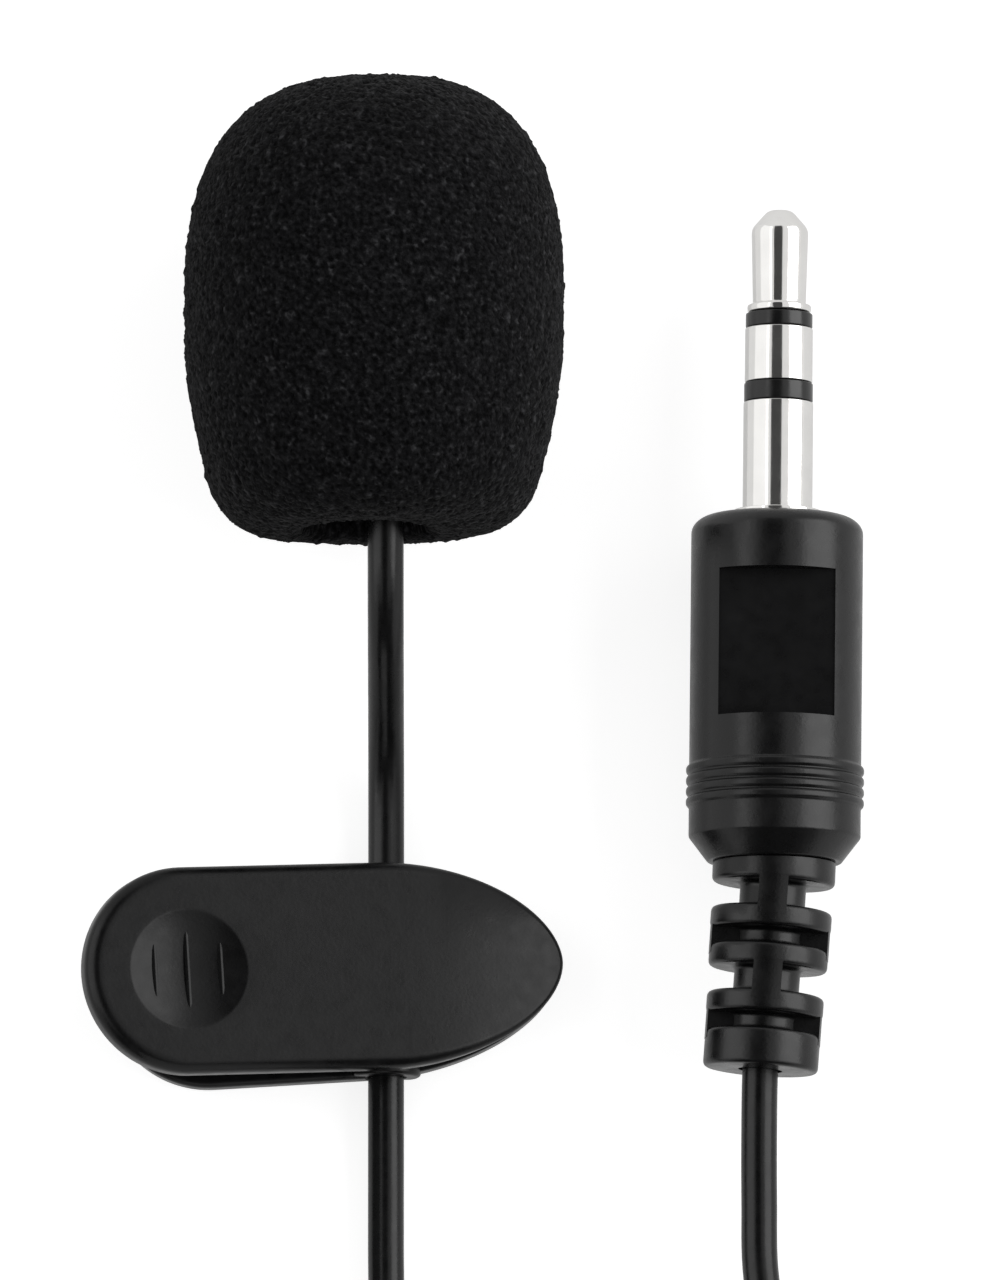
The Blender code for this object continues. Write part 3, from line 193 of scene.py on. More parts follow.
# Cable, as routed in the solids
CABLE_DIAMETER = 0.0018
CABLE_IN_HEAD = (0.00745, 0.0042, 0.0008)
CABLE_SPACING = 0.0006
CABLE_ROUNDNESS = 6
ROUTE_STEPS = 40
CABLE_X = 0.0032
CABLE_HEIGHT = 0.00095
MIC_ROUTE = [
    (CABLE_X, 0.0194, 0.00845),
    (CABLE_X, 0.0167, 0.00715),
    (CABLE_X, 0.0141, 0.00475),
    (CABLE_X, 0.0115, 0.00245),
    (CABLE_X, 0.0089, 0.00128),
    *((CABLE_X, y, CABLE_HEIGHT) for y in (0.0062, 0.0015, -0.0035, -0.0085, -0.0135, -0.0185)),
    (0.0028, -0.022, 0.001),
    (0.0015, -0.0257, 0.0011),
    (-0.0004, -0.0292, 0.00125),
    (-0.0019, -0.0326, 0.00135),
    (-0.0024, -0.0359, 0.00135),
]
PLUG_ROUTE = [
    (0.02182, -0.0082, 0.0044),
    (0.02182, -0.0116, 0.0043),
    (0.0219, -0.0153, 0.0043),
    (0.0226, -0.0193, 0.0048),
    (0.0243, -0.0236, 0.0062),
    (0.0262, -0.028, 0.0077),
    (0.0273, -0.0322, 0.00825),
    (0.0276, -0.0359, 0.00825),
]
COIL_CENTRE = (0.0126, -0.038)
COIL_OUTER_RADIUS = 0.015
COIL_PITCH = 0.0023
COIL_LAYERS = 4
TURNS_PER_LAYER = 3.75
REVERSING_TURN = 0.5
COIL_BASE = 0.00135
COIL_INNER_RADIUS = COIL_OUTER_RADIUS - TURNS_PER_LAYER * COIL_PITCH
COIL_BULGE = COIL_PITCH * REVERSING_TURN / 4
POINTS_PER_LOOP = 40

# Wire ties
TIE_WIDTH = 0.003
TIE_THICKNESS = 0.00028
TIE_CLEARANCE = 0.0003
TIE_CORNER_RADIUS = 0.0012
TIE_CORNER_STEPS = 8
TIE_WIRE_RIB = 0.00007
TIE_WIRE_WIDTH = 0.0006
TIE_TAIL_LENGTH = 0.008
TIE_TAIL_TURNS = 2.5
TIE_TAIL_STEPS = 72
TIE_TAIL_SIDES = 20
TIE_TAIL_LIFT = 1.6
TIE_TAIL_SECTION = (0.00085, 0.00034)

# Clip levers and hinge
CLIP_LENGTH = 0.02477
CLIP_WIDTH = 0.0104
JAW_TIP_X = 0.0119
JAW_TAPER = 0.0094
JAW_EXPONENT = 1.84
HINGE_FROM_TIP = 0.013
REAR_LEVER_SHORTER = 0.00197
REAR_THICKNESS = 0.0013
FRONT_THICKNESS = 0.0014
HINGE_TO_PLATE = 0.0018
JAW_GAP = 0.00015
FRONT_EDGE_RADIUS = 0.0007
JAW_EDGE_SHARE = 0.35
REAR_EDGE_RADIUS = 0.0003
INNER_EDGE_RADIUS = 0.00012
OUTLINE_SPACING = 0.00028
FACE_DROP = 0.0006
FACE_DROP_START = 0.005
OUTLINE_STEPS = 200
FACE_RINGS = 8
RIM_STEPS = 8
INNER_RING = 0.0004
HINGE_X = JAW_TIP_X - HINGE_FROM_TIP
HINGE_Z = REAR_THICKNESS + HINGE_TO_PLATE
EAR_RADIUS = 0.00115
EAR_THICKNESS = 0.0008
EAR_STEPS = 24
FRONT_EAR_INSIDE = 0.0024
REAR_EAR_INSIDE = 0.00332
PIN_RADIUS = 0.0006
PIN_REACH = 0.00442
SPRING_WIRE_RADIUS = 0.000225
SPRING_RADIUS = 0.00135
SPRING_PITCH = 0.0009
SPRING_WHOLE_CURLS = 3
SPRING_LEG_LENGTH = 0.0062
SPRING_STEPS = 120
SPRING_LEG_STEPS = 8
SPRING_WIRE_SIDES = 14
DIMPLE_FROM_END = 0.00525
DIMPLE_RADIUS = 0.003
DIMPLE_DEPTH = 0.0005
DIMPLE_LIP = 0.00008
DIMPLE_RINGS = 24
RIDGE_COUNT = 3
RIDGE_PITCH = 0.0017
RIDGE_WIDTH = 0.0003
RIDGE_ROUNDING = 0.45
RIDGE_BELOW_FACE = 0.00023
RIDGE_SAG = 0.00007
RIDGE_REACH = 0.0022
TOOTH_COUNT = 3
TOOTH_PITCH = 0.0012
TOOTH_HEIGHT = 0.00035
TOOTH_SPAN = 0.0048
FIRST_TOOTH_FROM_TIP = 0.0022
GROOVE_RADIUS = 0.00105
GROOVE_MOUTH = 0.0013
RIB_WALL = 0.0007
RIB_END_INSET = 0.0002
RIB_EDGE = 0.00025

# Plug contacts, from the shoulder to the tip
SLEEVE_TOP = 0.00575
RING_BAND_TOP = 0.00672
RING_TOP = 0.0095
TIP_BAND_TOP = 0.01025
TIP_END = 0.0155
SLEEVE_RADIUS = 0.00175
RING_BAND_RADIUS = 0.001725
RING_RADIUS = 0.0017
TIP_BAND_RADIUS = 0.001675
TIP_COLLAR_RADIUS = 0.0016
TIP_COLLAR_LENGTH = 0.00045
TIP_RADIUS = 0.00143
TIP_NECK_RADIUS = 0.00133
TIP_NOSE_RADIUS = 0.0006
TIP_NOSE_LENGTH = 0.00095
TIP_EDGE = 0.00026
TIP_ROD_RADIUS = 0.0005
CONTACT_WALL = 0.00025
FLANGE_RADIUS = 0.0022
FLANGE_PROUD = 0.0003
FLANGE_SUNK = 0.0006
SLEEVE_TAIL = 0.002
TAIL_STEP = 0.0008

# Plug body and strain relief, from the shoulder to the cable
BODY_RADIUS = 0.0043
BODY_LENGTH = 0.01745
BODY_EDGE_DEPTH = 0.0009
BODY_EDGE_WIDTH = 0.00125
BODY_EDGE_STEPS = 16
BODY_BORE = 0.00256
BODY_BORE_FRONT = -0.00065
BODY_BORE_REAR = -0.009
GRIP_START = 0.01258
GRIP_COUNT = 4
GRIP_PITCH = 0.00054
GRIP_HEIGHT = 0.00015
GRIP_GROOVE = 0.00014
CONE_LENGTH = 0.00125
CONE_END_RADIUS = 0.00335
PANEL_START = 0.00305
PANEL_LENGTH = 0.0074
PANEL_WIDTH = 0.0058
PANEL_DEPTH = 0.00125
RELIEF_SPIGOT_RADIUS = 0.0024
RELIEF_SPIGOT_LENGTH = 0.0064
RELIEF_START_RADIUS = 0.003075
RELIEF_END_RADIUS = 0.002875
RELIEF_CORE_RADIUS = 0.00165
RELIEF_SLOT_COUNT = 4
RELIEF_SIDE_SLOT_LENGTH = 0.00128
RELIEF_FACE_SLOT_LENGTH = 0.00083
RELIEF_DISC_LENGTH = 0.00108
RELIEF_END_LENGTH = 0.00186
RELIEF_WEB_WIDTH = 0.00145
RELIEF_LEAN = 0.064
RELIEF_LEAN_EASE = 0.001
RELIEF_BORE = 0.0011
RELIEF_BORE_STEPS = 12
RELIEF_REAR = -0.0279
RELIEF_EDGE = 0.00028
WEB_EDGE = 0.00003
CABLE_IN_PLUG = -0.009

# Stage
WHITE = (1.0, 1.0, 1.0, 1.0)
BLACK = (0.0, 0.0, 0.0, 1.0)
FLOOR_SIZE = 3.0
FLOOR_COLOUR = 0.5
FLOOR_GLOW = 0.8
FLOOR_SHEEN = 0.4
ROOM_GLOW = 1.0
ROOM_FILL = 0.35
ROOM_SHEEN = 0.8
BOX_CENTRE = Vector((0.012, 0.2, 0.005))
BOX_DISTANCE = 0.76
BOX_LENGTH = 0.9
RIGHT_BOX = (math.radians(37), math.radians(83), 2.4)
LEFT_BOX = (math.radians(-83), math.radians(-34), 1.0)

# Cards that paint reflections only: place, turn, size, glow and fade
UPRIGHT = (0.0, math.pi / 2, 0.0)
CARD_GLOW = 0.06
OVER_CARD = ((-0.06, 0.05, 0.62), (0.0, 0.0, 0.0), (0.4, 1.3), CARD_GLOW)
FRONT_CARD = ((0.0, -0.62, 0.3), (math.radians(60), 0.0, 0.0), (1.4, 0.62), CARD_GLOW)
# Painted dark reflection on the cable's left flank below the clip
BELOW_CARD = ((0.0012, -0.0119, 0.0027), UPRIGHT, (0.0028, 0.0142), CARD_GLOW, 0.003)
# Painted highlight along the clip's lower edge
CLIP_CARD = ((-0.0035, -0.02, 0.01225), (math.pi / 2, 0.0, 0.0), (0.019, 0.0165), 0.9)

# Pairs of upright cards between the foam and the plug, painting reflections on the pin and plug: rear,
# front, top and the two glows
SIDE_CARD_X = 0.0135
SIDE_CARD_SPLIT = 0.0057
PIN_CARDS = (0.0236, 0.047, 0.0159, 0.78, 1.05)
PLUG_CARDS = (0.004, 0.0224, 0.014, 0.5, 0.85)


def lever_angle():
    """The angle between the levers that closes the jaw to its gap."""
    rise = HINGE_TO_PLATE - JAW_GAP
    return math.atan2(rise, HINGE_FROM_TIP) + math.asin(HINGE_TO_PLATE / math.hypot(HINGE_FROM_TIP, rise))


LEVER_FRAME = (
    CLIP_FRAME @ Matrix.Translation((HINGE_X, 0.0, HINGE_Z)) @ Matrix.Rotation(lever_angle(), 4, "Y")
)


# Materials
def set_inputs(tree, made, inputs):
    """Sets a node's inputs, or links them to other nodes."""
    for key, value in inputs.items():
        if isinstance(value, bpy.types.NodeSocket):
            tree.links.new(value, made.inputs[key])
        else:
            made.inputs[key].default_value = value
    return made


def node(tree, kind, inputs=None, **settings):
    """A shader node with its settings and inputs."""
    made = tree.nodes.new("ShaderNode" + kind)
    for key, value in settings.items():
        setattr(made, key, value)
    return set_inputs(tree, made, inputs or {})


def maths(tree, operation, first, second):
    return node(tree, "Math", {0: first, 1: second}, operation=operation).outputs["Value"]


def surface(name, roughness, metallic=0.0, specular=0.5):
    """A Principled material and its shader."""
    made = bpy.data.materials.new(name)
    made.use_nodes = True
    tree = made.node_tree
    inputs = {"Roughness": roughness, "Metallic": metallic, "Specular IOR Level": specular}
    return made, tree, set_inputs(tree, tree.nodes["Principled BSDF"], inputs)


def pattern(tree, scale, detail=2.0, stretch=None):
    """Noise in the object's own space, in cells per metre."""
    place = node(tree, "TexCoord").outputs["Object"]
    if stretch:
        place = node(tree, "Mapping", {"Vector": place, "Scale": stretch}).outputs["Vector"]
    made = node(tree, "TexNoise", {"Vector": place, "Scale": scale, "Detail": detail})
    return made.outputs["Fac"]


def ranged(tree, value, low, high, start=NOISE_LOW, end=NOISE_HIGH):
    inputs = {"Value": value, "From Min": start, "From Max": end, "To Min": low, "To Max": high}
    return node(tree, "MapRange", inputs).outputs["Result"]


def ramp(tree, value, stops):
    """A colour ramp through (position, colour) stops."""
    made = node(tree, "ValToRGB", {"Fac": value})
    elements = made.color_ramp.elements
    while len(elements) < len(stops):
        elements.new(0.5)
    for element, (position, colour) in zip(elements, stops):
        element.position = position
        element.color = (*colour, 1.0)
    return made.outputs["Color"]


def bumped(tree, height, depth, under=None):
    inputs = {"Height": height, "Distance": depth, "Strength": 1.0}
    if under:
        inputs["Normal"] = under
    return node(tree, "Bump", inputs).outputs["Normal"]


def scaled(colour, share):
    return tuple(channel * share for channel in colour)


def moulded(name, colour, roughness, grain=MOULD_GRAIN, depth=0.000012, specular=0.5):
    """Moulded plastic: fine spark-eroded grain, uneven gloss and a slight unevenness of colour."""
    made, tree, shader = surface(name, roughness, specular=specular)
    dark, light = scaled(colour, 1 - COLOUR_VARIATION), scaled(colour, 1 + COLOUR_VARIATION)
    stops = [(NOISE_LOW, dark), (NOISE_HIGH, light)]
    gloss = pattern(tree, GLOSS_SCALE, 5.0)
    broad = bumped(tree, pattern(tree, RIPPLE_SCALE), depth * 2.0)
    inputs = {
        "Base Color": ramp(tree, pattern(tree, BLOTCH_SCALE, 4.0), stops),
        "Roughness": ranged(tree, gloss, *(roughness + change for change in GLOSS_SPREAD)),
        "Normal": bumped(tree, pattern(tree, grain, 3.0), depth, broad),
    }
    set_inputs(tree, shader, inputs)
    return made


def plated(name, colour, roughness, stretch=(300.0, 16000.0, 300.0), depth=0.0000006):
    """Bright metal with fine tool marks across one axis and a little haze."""
    made, tree, shader = surface(name, roughness, metallic=1.0)
    haze = pattern(tree, HAZE_SCALE, 4.0)
    stops = [(NOISE_LOW, scaled(colour, HAZE_TONE)), (NOISE_HIGH, colour)]
    inputs = {
        "Base Color": ramp(tree, haze, stops),
        "Roughness": ranged(tree, haze, *(roughness * share for share in HAZE_SPREAD)),
        "Normal": bumped(tree, pattern(tree, 1.0, stretch=stretch), depth),
    }
    set_inputs(tree, shader, inputs)
    return made


def foam_surface():
    """Black open-cell foam: dim struts round pores darkened by painted shade, with a few painted glints."""
    made, tree, shader = surface("black_open_cell_foam", 0.9, specular=0.03)
    pore = node(tree, "Attribute", attribute_name="pore").outputs["Fac"]
    grain = pattern(tree, FOAM_GRAIN_SCALE, 3.0)
    # Painted glints: sparse bright specks in the colour stand in for light caught on the struts.
    glint = pattern(tree, FOAM_GLINT_SCALE, 1.0)
    glint = ranged(tree, glint, 0.0, FOAM_GLINT_TONE, *FOAM_GLINT_RANGE)
    # Painted shade: the deeper a point lies in a pore, the darker its colour.
    dark = maths(tree, "ADD", grain, maths(tree, "MULTIPLY", pore, FOAM_PORE_SHADE))
    stops = [
        (0.26, (0.002, 0.002, 0.0022)),
        (0.44, (0.0064, 0.0064, 0.007)),
        (0.58, (0.013, 0.013, 0.0139)),
        (0.8, (0.042, 0.042, 0.0445)),
    ]
    inputs = {
        "Sheen Weight": FOAM_SHEEN,
        "Sheen Roughness": 0.5,
        "Base Color": ramp(tree, maths(tree, "ADD", dark, glint), stops),
        "Normal": bumped(tree, grain, FOAM_BUMP),
    }
    set_inputs(tree, shader, inputs)
    return made


def woven_surface():
    """Fine steel gauze: two crossed sets of wires over dark gaps."""
    made, tree, shader = surface("woven_steel_gauze", 0.35, metallic=1.0)
    place = node(tree, "TexCoord").outputs["Object"]
    wires = []
    for direction in ("X", "Z"):
        wave = node(tree, "TexWave", {"Vector": place, "Scale": GAUZE_SCALE}, bands_direction=direction)
        wires.append(wave.outputs["Fac"])
    weave = maths(tree, "MAXIMUM", *wires)
    stops = [(0.45, (0.02, 0.02, 0.02)), (0.75, (0.55, 0.55, 0.56))]
    inputs = {"Base Color": ramp(tree, weave, stops), "Normal": bumped(tree, weave, GAUZE_BUMP)}
    set_inputs(tree, shader, inputs)
    return made


def make_surfaces():
    return {
        "foam": foam_surface(),
        "clip": moulded("black_clip_plastic", (0.0024, 0.0024, 0.0026), 0.31, MOULD_GRAIN, 0.000006, 0.25),
        "head": moulded("black_head_plastic", (0.005, 0.005, 0.0053), 0.32, MOULD_GRAIN, 0.000006, 0.4),
        "rubber": moulded("black_rubber", (0.006, 0.006, 0.006), 0.55, 3800.0, specular=0.4),
        "cable": moulded("black_cable_jacket", (0.003, 0.003, 0.0032), 0.27, 2600.0, 0.000006, 0.32),
        "plug": moulded("black_over_mould", (0.003, 0.003, 0.0032), 0.29, 6200.0, 0.000007, 0.38),
        "panel": moulded("black_recessed_panel", (0.0068, 0.0068, 0.0071), 0.3, 6200.0, 0.000003, 0.2),
        "band": moulded("black_insulator", (0.006, 0.006, 0.006), 0.22, 4000.0, 0.000003),
        "tie": moulded("black_tie_jacket", (0.008, 0.008, 0.008), 0.42, 3000.0, specular=0.4),
        "nickel": plated("bright_nickel", (0.88, 0.87, 0.85), 0.1),
        "steel": plated("spring_steel", (0.56, 0.56, 0.57), 0.22, (9000.0, 300.0, 9000.0)),
        "aluminium": plated("pressed_aluminium", (0.74, 0.74, 0.75), 0.3),
        "brass": plated("plain_brass", (0.7, 0.54, 0.28), 0.28),
        "copper": plated("copper_strands", (0.72, 0.45, 0.32), 0.3),
        "film": plated("metallised_film", (0.78, 0.7, 0.48), 0.18),
        "gauze": woven_surface(),
        "felt": moulded("black_felt", (0.01, 0.01, 0.01), 0.9, 5000.0, 0.00004, 0.1),
        "board": moulded("green_circuit_board", (0.03, 0.16, 0.06), 0.4),
        "red": moulded("red_wire_jacket", (0.45, 0.03, 0.02), 0.4),
        "mould": moulded("natural_polyethylene", (0.62, 0.62, 0.58), 0.45),
    }


# Mesh helpers
def dress(piece, body, stands_for):
    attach(piece, body)
    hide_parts(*stands_for)
    return piece


def link_object(name, data):
    made = bpy.data.objects.new(name, data)
    bpy.context.scene.collection.objects.link(made)
    return made


def mesh_object(name, shape):
    """An object from a bmesh, which is used up."""
    data = bpy.data.meshes.new(name)
    shape.to_mesh(data)
    shape.free()
    return link_object(name, data)


def add_piece(name, shape, finish, place=None):
    """An object from a bmesh, moved to its place, smooth between its sharp edges."""
    if place:
        shape.transform(place)
    made = mesh_object(name, shape)
    made.data.materials.append(finish)
    made.data.shade_smooth()
    made.data.set_sharp_from_angle(angle=SMOOTH_ANGLE)
    return made


def place_all(pieces, surfaces, frame):
    """Pieces of the microphone's body, from (name, shape, finish, solid, slot) rows."""
    made = []
    for name, shape, finish, solid, slot in pieces:
        piece = add_piece(name, shape, surfaces[finish], frame)
        made.append(dress(piece, "microphone", [solid]))
    return made


def rounded(profile, radius, ring=False):
    """A profile with its corners rounded by short curves."""
    corners = [Vector(point) for point in profile]
    made = []
    for index, corner in enumerate(corners):
        if not ring and index in (0, len(corners) - 1):
            made.append(tuple(corner))
            continue
        back = corners[index - 1] - corner
        ahead = corners[(index + 1) % len(corners)] - corner
        reach = min(radius, back.length * ROUND_LIMIT, ahead.length * ROUND_LIMIT)
        start = corner + back.normalized() * reach
        end = corner + ahead.normalized() * reach
        for step in range(ROUND_STEPS + 1):
            share = step / ROUND_STEPS
            made.append(tuple(start.lerp(corner, share).lerp(corner.lerp(end, share), share)))
    return made


def stairs(*sides):
    """Corners of a square-cornered profile, from a radius, a height, the next radius and so on."""
    corners = []
    for index, (first, second) in enumerate(zip(sides, sides[1:])):
        corners.append((second, first) if index % 2 else (first, second))
    return corners


def spread(count, pitch):
    """Places of a row of things about its middle."""
    return [(number - (count - 1) / 2) * pitch for number in range(count)]


def unit(rows):
    return rows / np.linalg.norm(rows, axis=1)[:, None]


def arc(centre, radius, start, end, steps):
    points = []
    for step in range(steps + 1):
        angle = start + (end - start) * step / steps
        points.append((centre[0] + radius * math.cos(angle), centre[1] + radius * math.sin(angle)))
    return points


def circle(radius, sides):
    return arc((0.0, 0.0), radius, 0.0, math.tau, sides)[:-1]


def lathe(profile, segments=LATHE_SEGMENTS, ring=False):
    """A shape turned about Z from (radius, height) points."""
    shape = bmesh.new()
    points = [shape.verts.new((radius, 0.0, height)) for radius, height in profile]
    edges = [shape.edges.new(pair) for pair in zip(points, points[1:])]
    if ring:
        edges.append(shape.edges.new((points[-1], points[0])))
    axis = {"cent": (0.0, 0.0, 0.0), "axis": (0.0, 0.0, 1.0)}
    bmesh.ops.spin(shape, geom=points + edges, **axis, angle=math.tau, steps=segments, use_merge=True)
    bmesh.ops.remove_doubles(shape, verts=shape.verts, dist=WELD)
    bmesh.ops.recalc_face_normals(shape, faces=shape.faces)
    return shape


def prism(outline, low, high, edge=0.0):
    """A prism along Z on an outline, with its edges a little rounded if asked."""
    shape = bmesh.new()
    base = shape.faces.new([shape.verts.new((x, y, low)) for x, y in outline])
    grown = bmesh.ops.extrude_face_region(shape, geom=[base])
    moved = [item for item in grown["geom"] if isinstance(item, bmesh.types.BMVert)]
    bmesh.ops.translate(shape, vec=(0.0, 0.0, high - low), verts=moved)
    bmesh.ops.recalc_face_normals(shape, faces=shape.faces)
    if edge:
        rim = [item for item in shape.edges if item.calc_face_angle(0.0) > SMOOTH_ANGLE]
        form = {"offset_type": "OFFSET", "segments": 2, "profile": 0.5, "affect": "EDGES"}
        bmesh.ops.bevel(shape, geom=rim, offset=edge, **form)
    return shape


def block(low, high, edge=0.0):
    return prism(stairs(low[0], low[1], high[0], high[1], low[0]), low[2], high[2], edge)


def across(shape, offset=(0.0, 0.0, 0.0)):
    """Turns a shape so that its Y points up and its Z points to -Y, then moves it."""
    shape.transform(Matrix.Translation(offset) @ Matrix.Rotation(math.pi / 2, 4, "X"))
    return shape


def shifted(shape, offset):
    shape.transform(Matrix.Translation(offset))
    return shape


def combined(base, added=(), cut=()):
    """A bmesh joined with some shapes, then cut by others."""
    target = mesh_object("base", base)
    steps = [("UNION", shape) for shape in added]
    steps += [("DIFFERENCE", shape) for shape in cut]
    helpers = []
    for operation, shape in steps:
        change = target.modifiers.new("change", "BOOLEAN")
        change.operation = operation
        change.solver = "EXACT"
        change.object = mesh_object("tool", shape)
        helpers.append(change.object)
    bpy.context.view_layer.update()
    finished = target.evaluated_get(bpy.context.evaluated_depsgraph_get())
    result = bmesh.new()
    result.from_mesh(finished.to_mesh())
    finished.to_mesh_clear()
    for item in [target, *helpers]:
        used = item.data
        bpy.data.objects.remove(item, do_unlink=True)
        bpy.data.meshes.remove(used)
    return result


def skin(shape, loops):
    """Faces between each loop of points and the next."""
    for lower, upper in zip(loops, loops[1:]):
        for i in range(len(lower)):
            shape.faces.new((lower[i - 1], lower[i], upper[i], upper[i - 1]))


def sweep(frames, section, closed):
    """A skin over a section of (side, up) points carried along (point, side, up) frames."""
    shape = bmesh.new()
    loops = []
    for point, side, up in frames:
        loops.append([shape.verts.new(point + side * x + up * y) for x, y in section])
    skin(shape, loops + loops[:1] if closed else loops)
    if not closed:
        shape.faces.new(loops[0][::-1])
        shape.faces.new(loops[-1])
    bmesh.ops.recalc_face_normals(shape, faces=shape.faces)
    return shape


def resampled(points, spacing):
    """A polyline's points again, evenly spaced."""
    line = np.array(points, float)
    lengths = np.linalg.norm(np.diff(line, axis=0), axis=1)
    travelled = np.concatenate([[0.0], np.cumsum(lengths)])
    count = max(2, round(travelled[-1] / spacing))
    wanted = np.linspace(0.0, travelled[-1], count + 1)
    return np.stack([np.interp(wanted, travelled, line[:, i]) for i in range(line.shape[1])], axis=1)


# Foam windscreen
def foam_outside():
    """(radius, height) points from the foam's front to the flat of its rear."""
    points = []
    for step in range(FOAM_FINE_STEPS):
        share = math.cos(step / FOAM_FINE_STEPS * math.pi / 2)
        radius = FOAM_RADIUS * (1 - share**FOAM_FRONT_EXPONENT) ** (1 / FOAM_FRONT_EXPONENT)
        points.append((radius, FOAM_REAR_LENGTH + FOAM_FRONT_LENGTH * share))
    narrowing = FOAM_RADIUS - FOAM_REAR_RADIUS
    tilt = math.atan(2 * narrowing / FOAM_REAR_LENGTH)
    flank = FOAM_REAR_LENGTH - FOAM_CORNER_RADIUS * (1 - math.sin(tilt))
    for step in range(FOAM_FINE_STEPS + 1):
        depth = flank * step / FOAM_FINE_STEPS
        radius = FOAM_RADIUS - narrowing * (depth / FOAM_REAR_LENGTH) ** 2
        points.append((radius, FOAM_REAR_LENGTH - depth))
    corner = (radius - FOAM_CORNER_RADIUS * math.cos(tilt), FOAM_CORNER_RADIUS)
    return points + arc(corner, FOAM_CORNER_RADIUS, -tilt, -math.pi / 2, FOAM_CORNER_STEPS)[1:]


def foam_inside():
    """(radius, height) points from the rear flat over the mouth and up the bore."""
    mouth = (FOAM_LIP_BORE + FOAM_MOUTH_RADIUS, FOAM_MOUTH_RADIUS)
    points = arc(mouth, FOAM_MOUTH_RADIUS, -math.pi / 2, -math.pi, FOAM_MOUTH_STEPS)
    points += [(FOAM_LIP_BORE, FOAM_LIP_DEPTH), (FOAM_BORE, FOAM_LIP_END)]
    return points + [(FOAM_BORE, FOAM_BORE_DEPTH), (FOAM_SPACING, FOAM_BORE_DEPTH)]


def cell_depth(point):
    """How far a point of the foam lies in a pore: 0 on a strut, 1 in the middle of a cell."""
    distances = noise.voronoi(point / FOAM_CELL)[0]
    inside = distances[1] - distances[0] - FOAM_STRUT_SHARE
    share = min(1.0, max(0.0, inside / FOAM_PORE_SHARE))
    return share * share * (3 - 2 * share)


def lip_recess(up, depth):
    """How far the upper lip of the mouth is pressed in, at a height and a depth from the rear."""
    start, end = FOAM_LIP_RANGE
    share = np.clip((up - start) / (end - start), 0.0, 1.0)
    fade = np.clip(1 - depth / FOAM_LIP_REACH, 0.0, 1.0)
    return FOAM_LIP_RECESS * share**2 * (3 - 2 * share) * fade


def foam_rings(radii, heights):
    """Rows of points round the foam's axis, a ring for each radius and height."""
    turn = np.linspace(0.0, math.tau, FOAM_AROUND, endpoint=False)
    rings = [np.outer(radii, np.cos(turn)), np.outer(radii, np.sin(turn))]
    rings.append(np.outer(heights, np.ones(FOAM_AROUND)))
    return np.stack(rings, axis=2).reshape(-1, 3)


def make_foam(surfaces):
    outside = resampled(foam_outside(), FOAM_SPACING)[1:]
    inside = resampled(foam_inside(), FOAM_BORE_SPACING)
    gap = resampled([outside[-1], inside[0]], FOAM_SPACING)[1:-1]
    profile = np.concatenate([outside, gap, inside])
    shift = np.concatenate(
        [
            np.full(len(outside), FOAM_OFFSET),
            np.linspace(FOAM_OFFSET, FOAM_LIP_OFFSET, len(gap) + 2)[1:-1],
            np.interp(inside[:, 1], (FOAM_LIP_DEPTH, FOAM_LIP_END), (FOAM_LIP_OFFSET, 0.0)),
        ]
    )
    along = unit(np.gradient(profile, axis=0))
    rows = len(profile)
    points = foam_rings(profile[:, 0], profile[:, 1])
    points[:, 0] += np.repeat(shift, FOAM_AROUND)
    outward = foam_rings(-along[:, 1], along[:, 0])
    ends = np.array([[FOAM_OFFSET, 0.0, FOAM_REAR_LENGTH + FOAM_FRONT_LENGTH], [0.0, 0.0, FOAM_BORE_DEPTH]])
    points = np.concatenate([points, ends])
    outward = np.concatenate([outward, [[0.0, 0.0, 1.0], [0.0, 0.0, -1.0]]])
    pores = np.empty(len(points), np.float32)
    for index, (point, normal) in enumerate(zip(points.copy(), outward)):
        place = Vector(point)
        pores[index] = cell_depth(place)
        rise = noise.noise(place / FOAM_LUMP) * FOAM_LUMP_HEIGHT
        rise += noise.noise(place / FOAM_GRAIN) * FOAM_GRAIN_HEIGHT
        rise += max(0.0, noise.noise(place / FOAM_TUFT) - FOAM_TUFT_START) * FOAM_TUFT_HEIGHT
        points[index] += normal * (rise + (FOAM_STRUT_RISE - pores[index]) * FOAM_CELL_DEPTH)
    points[:, 2] += lip_recess(-points[:, 1], points[:, 2]) + FOAM_SKEW * (points[:, 0] - FOAM_OFFSET)
    frame = np.array(MIC_FRAME)
    points = points @ frame[:3, :3].T + frame[:3, 3]
    points[:, 2] = np.maximum(points[:, 2], 0.0)
    index = np.arange(rows * FOAM_AROUND).reshape(rows, FOAM_AROUND)
    after = np.roll(index, -1, axis=1)
    quads = np.stack([index[:-1], index[1:], after[1:], after[:-1]], axis=-1).reshape(-1, 4)
    front, back = rows * FOAM_AROUND, rows * FOAM_AROUND + 1
    caps = [(front, a, b) for a, b in zip(index[0], after[0])]
    caps += [(back, b, a) for a, b in zip(index[-1], after[-1])]
    data = bpy.data.meshes.new("foam_sock")
    data.from_pydata(points.tolist(), [], quads.tolist() + caps)
    # The pore depth also darkens the foam's colour, as painted shade.
    data.attributes.new("pore", "FLOAT", "POINT").data.foreach_set("value", pores)
    data.materials.append(surfaces["foam"])
    data.shade_smooth()
    data.update()
    foam = dress(link_object("foam_sock", data), "windscreen", ["foam_windscreen"])


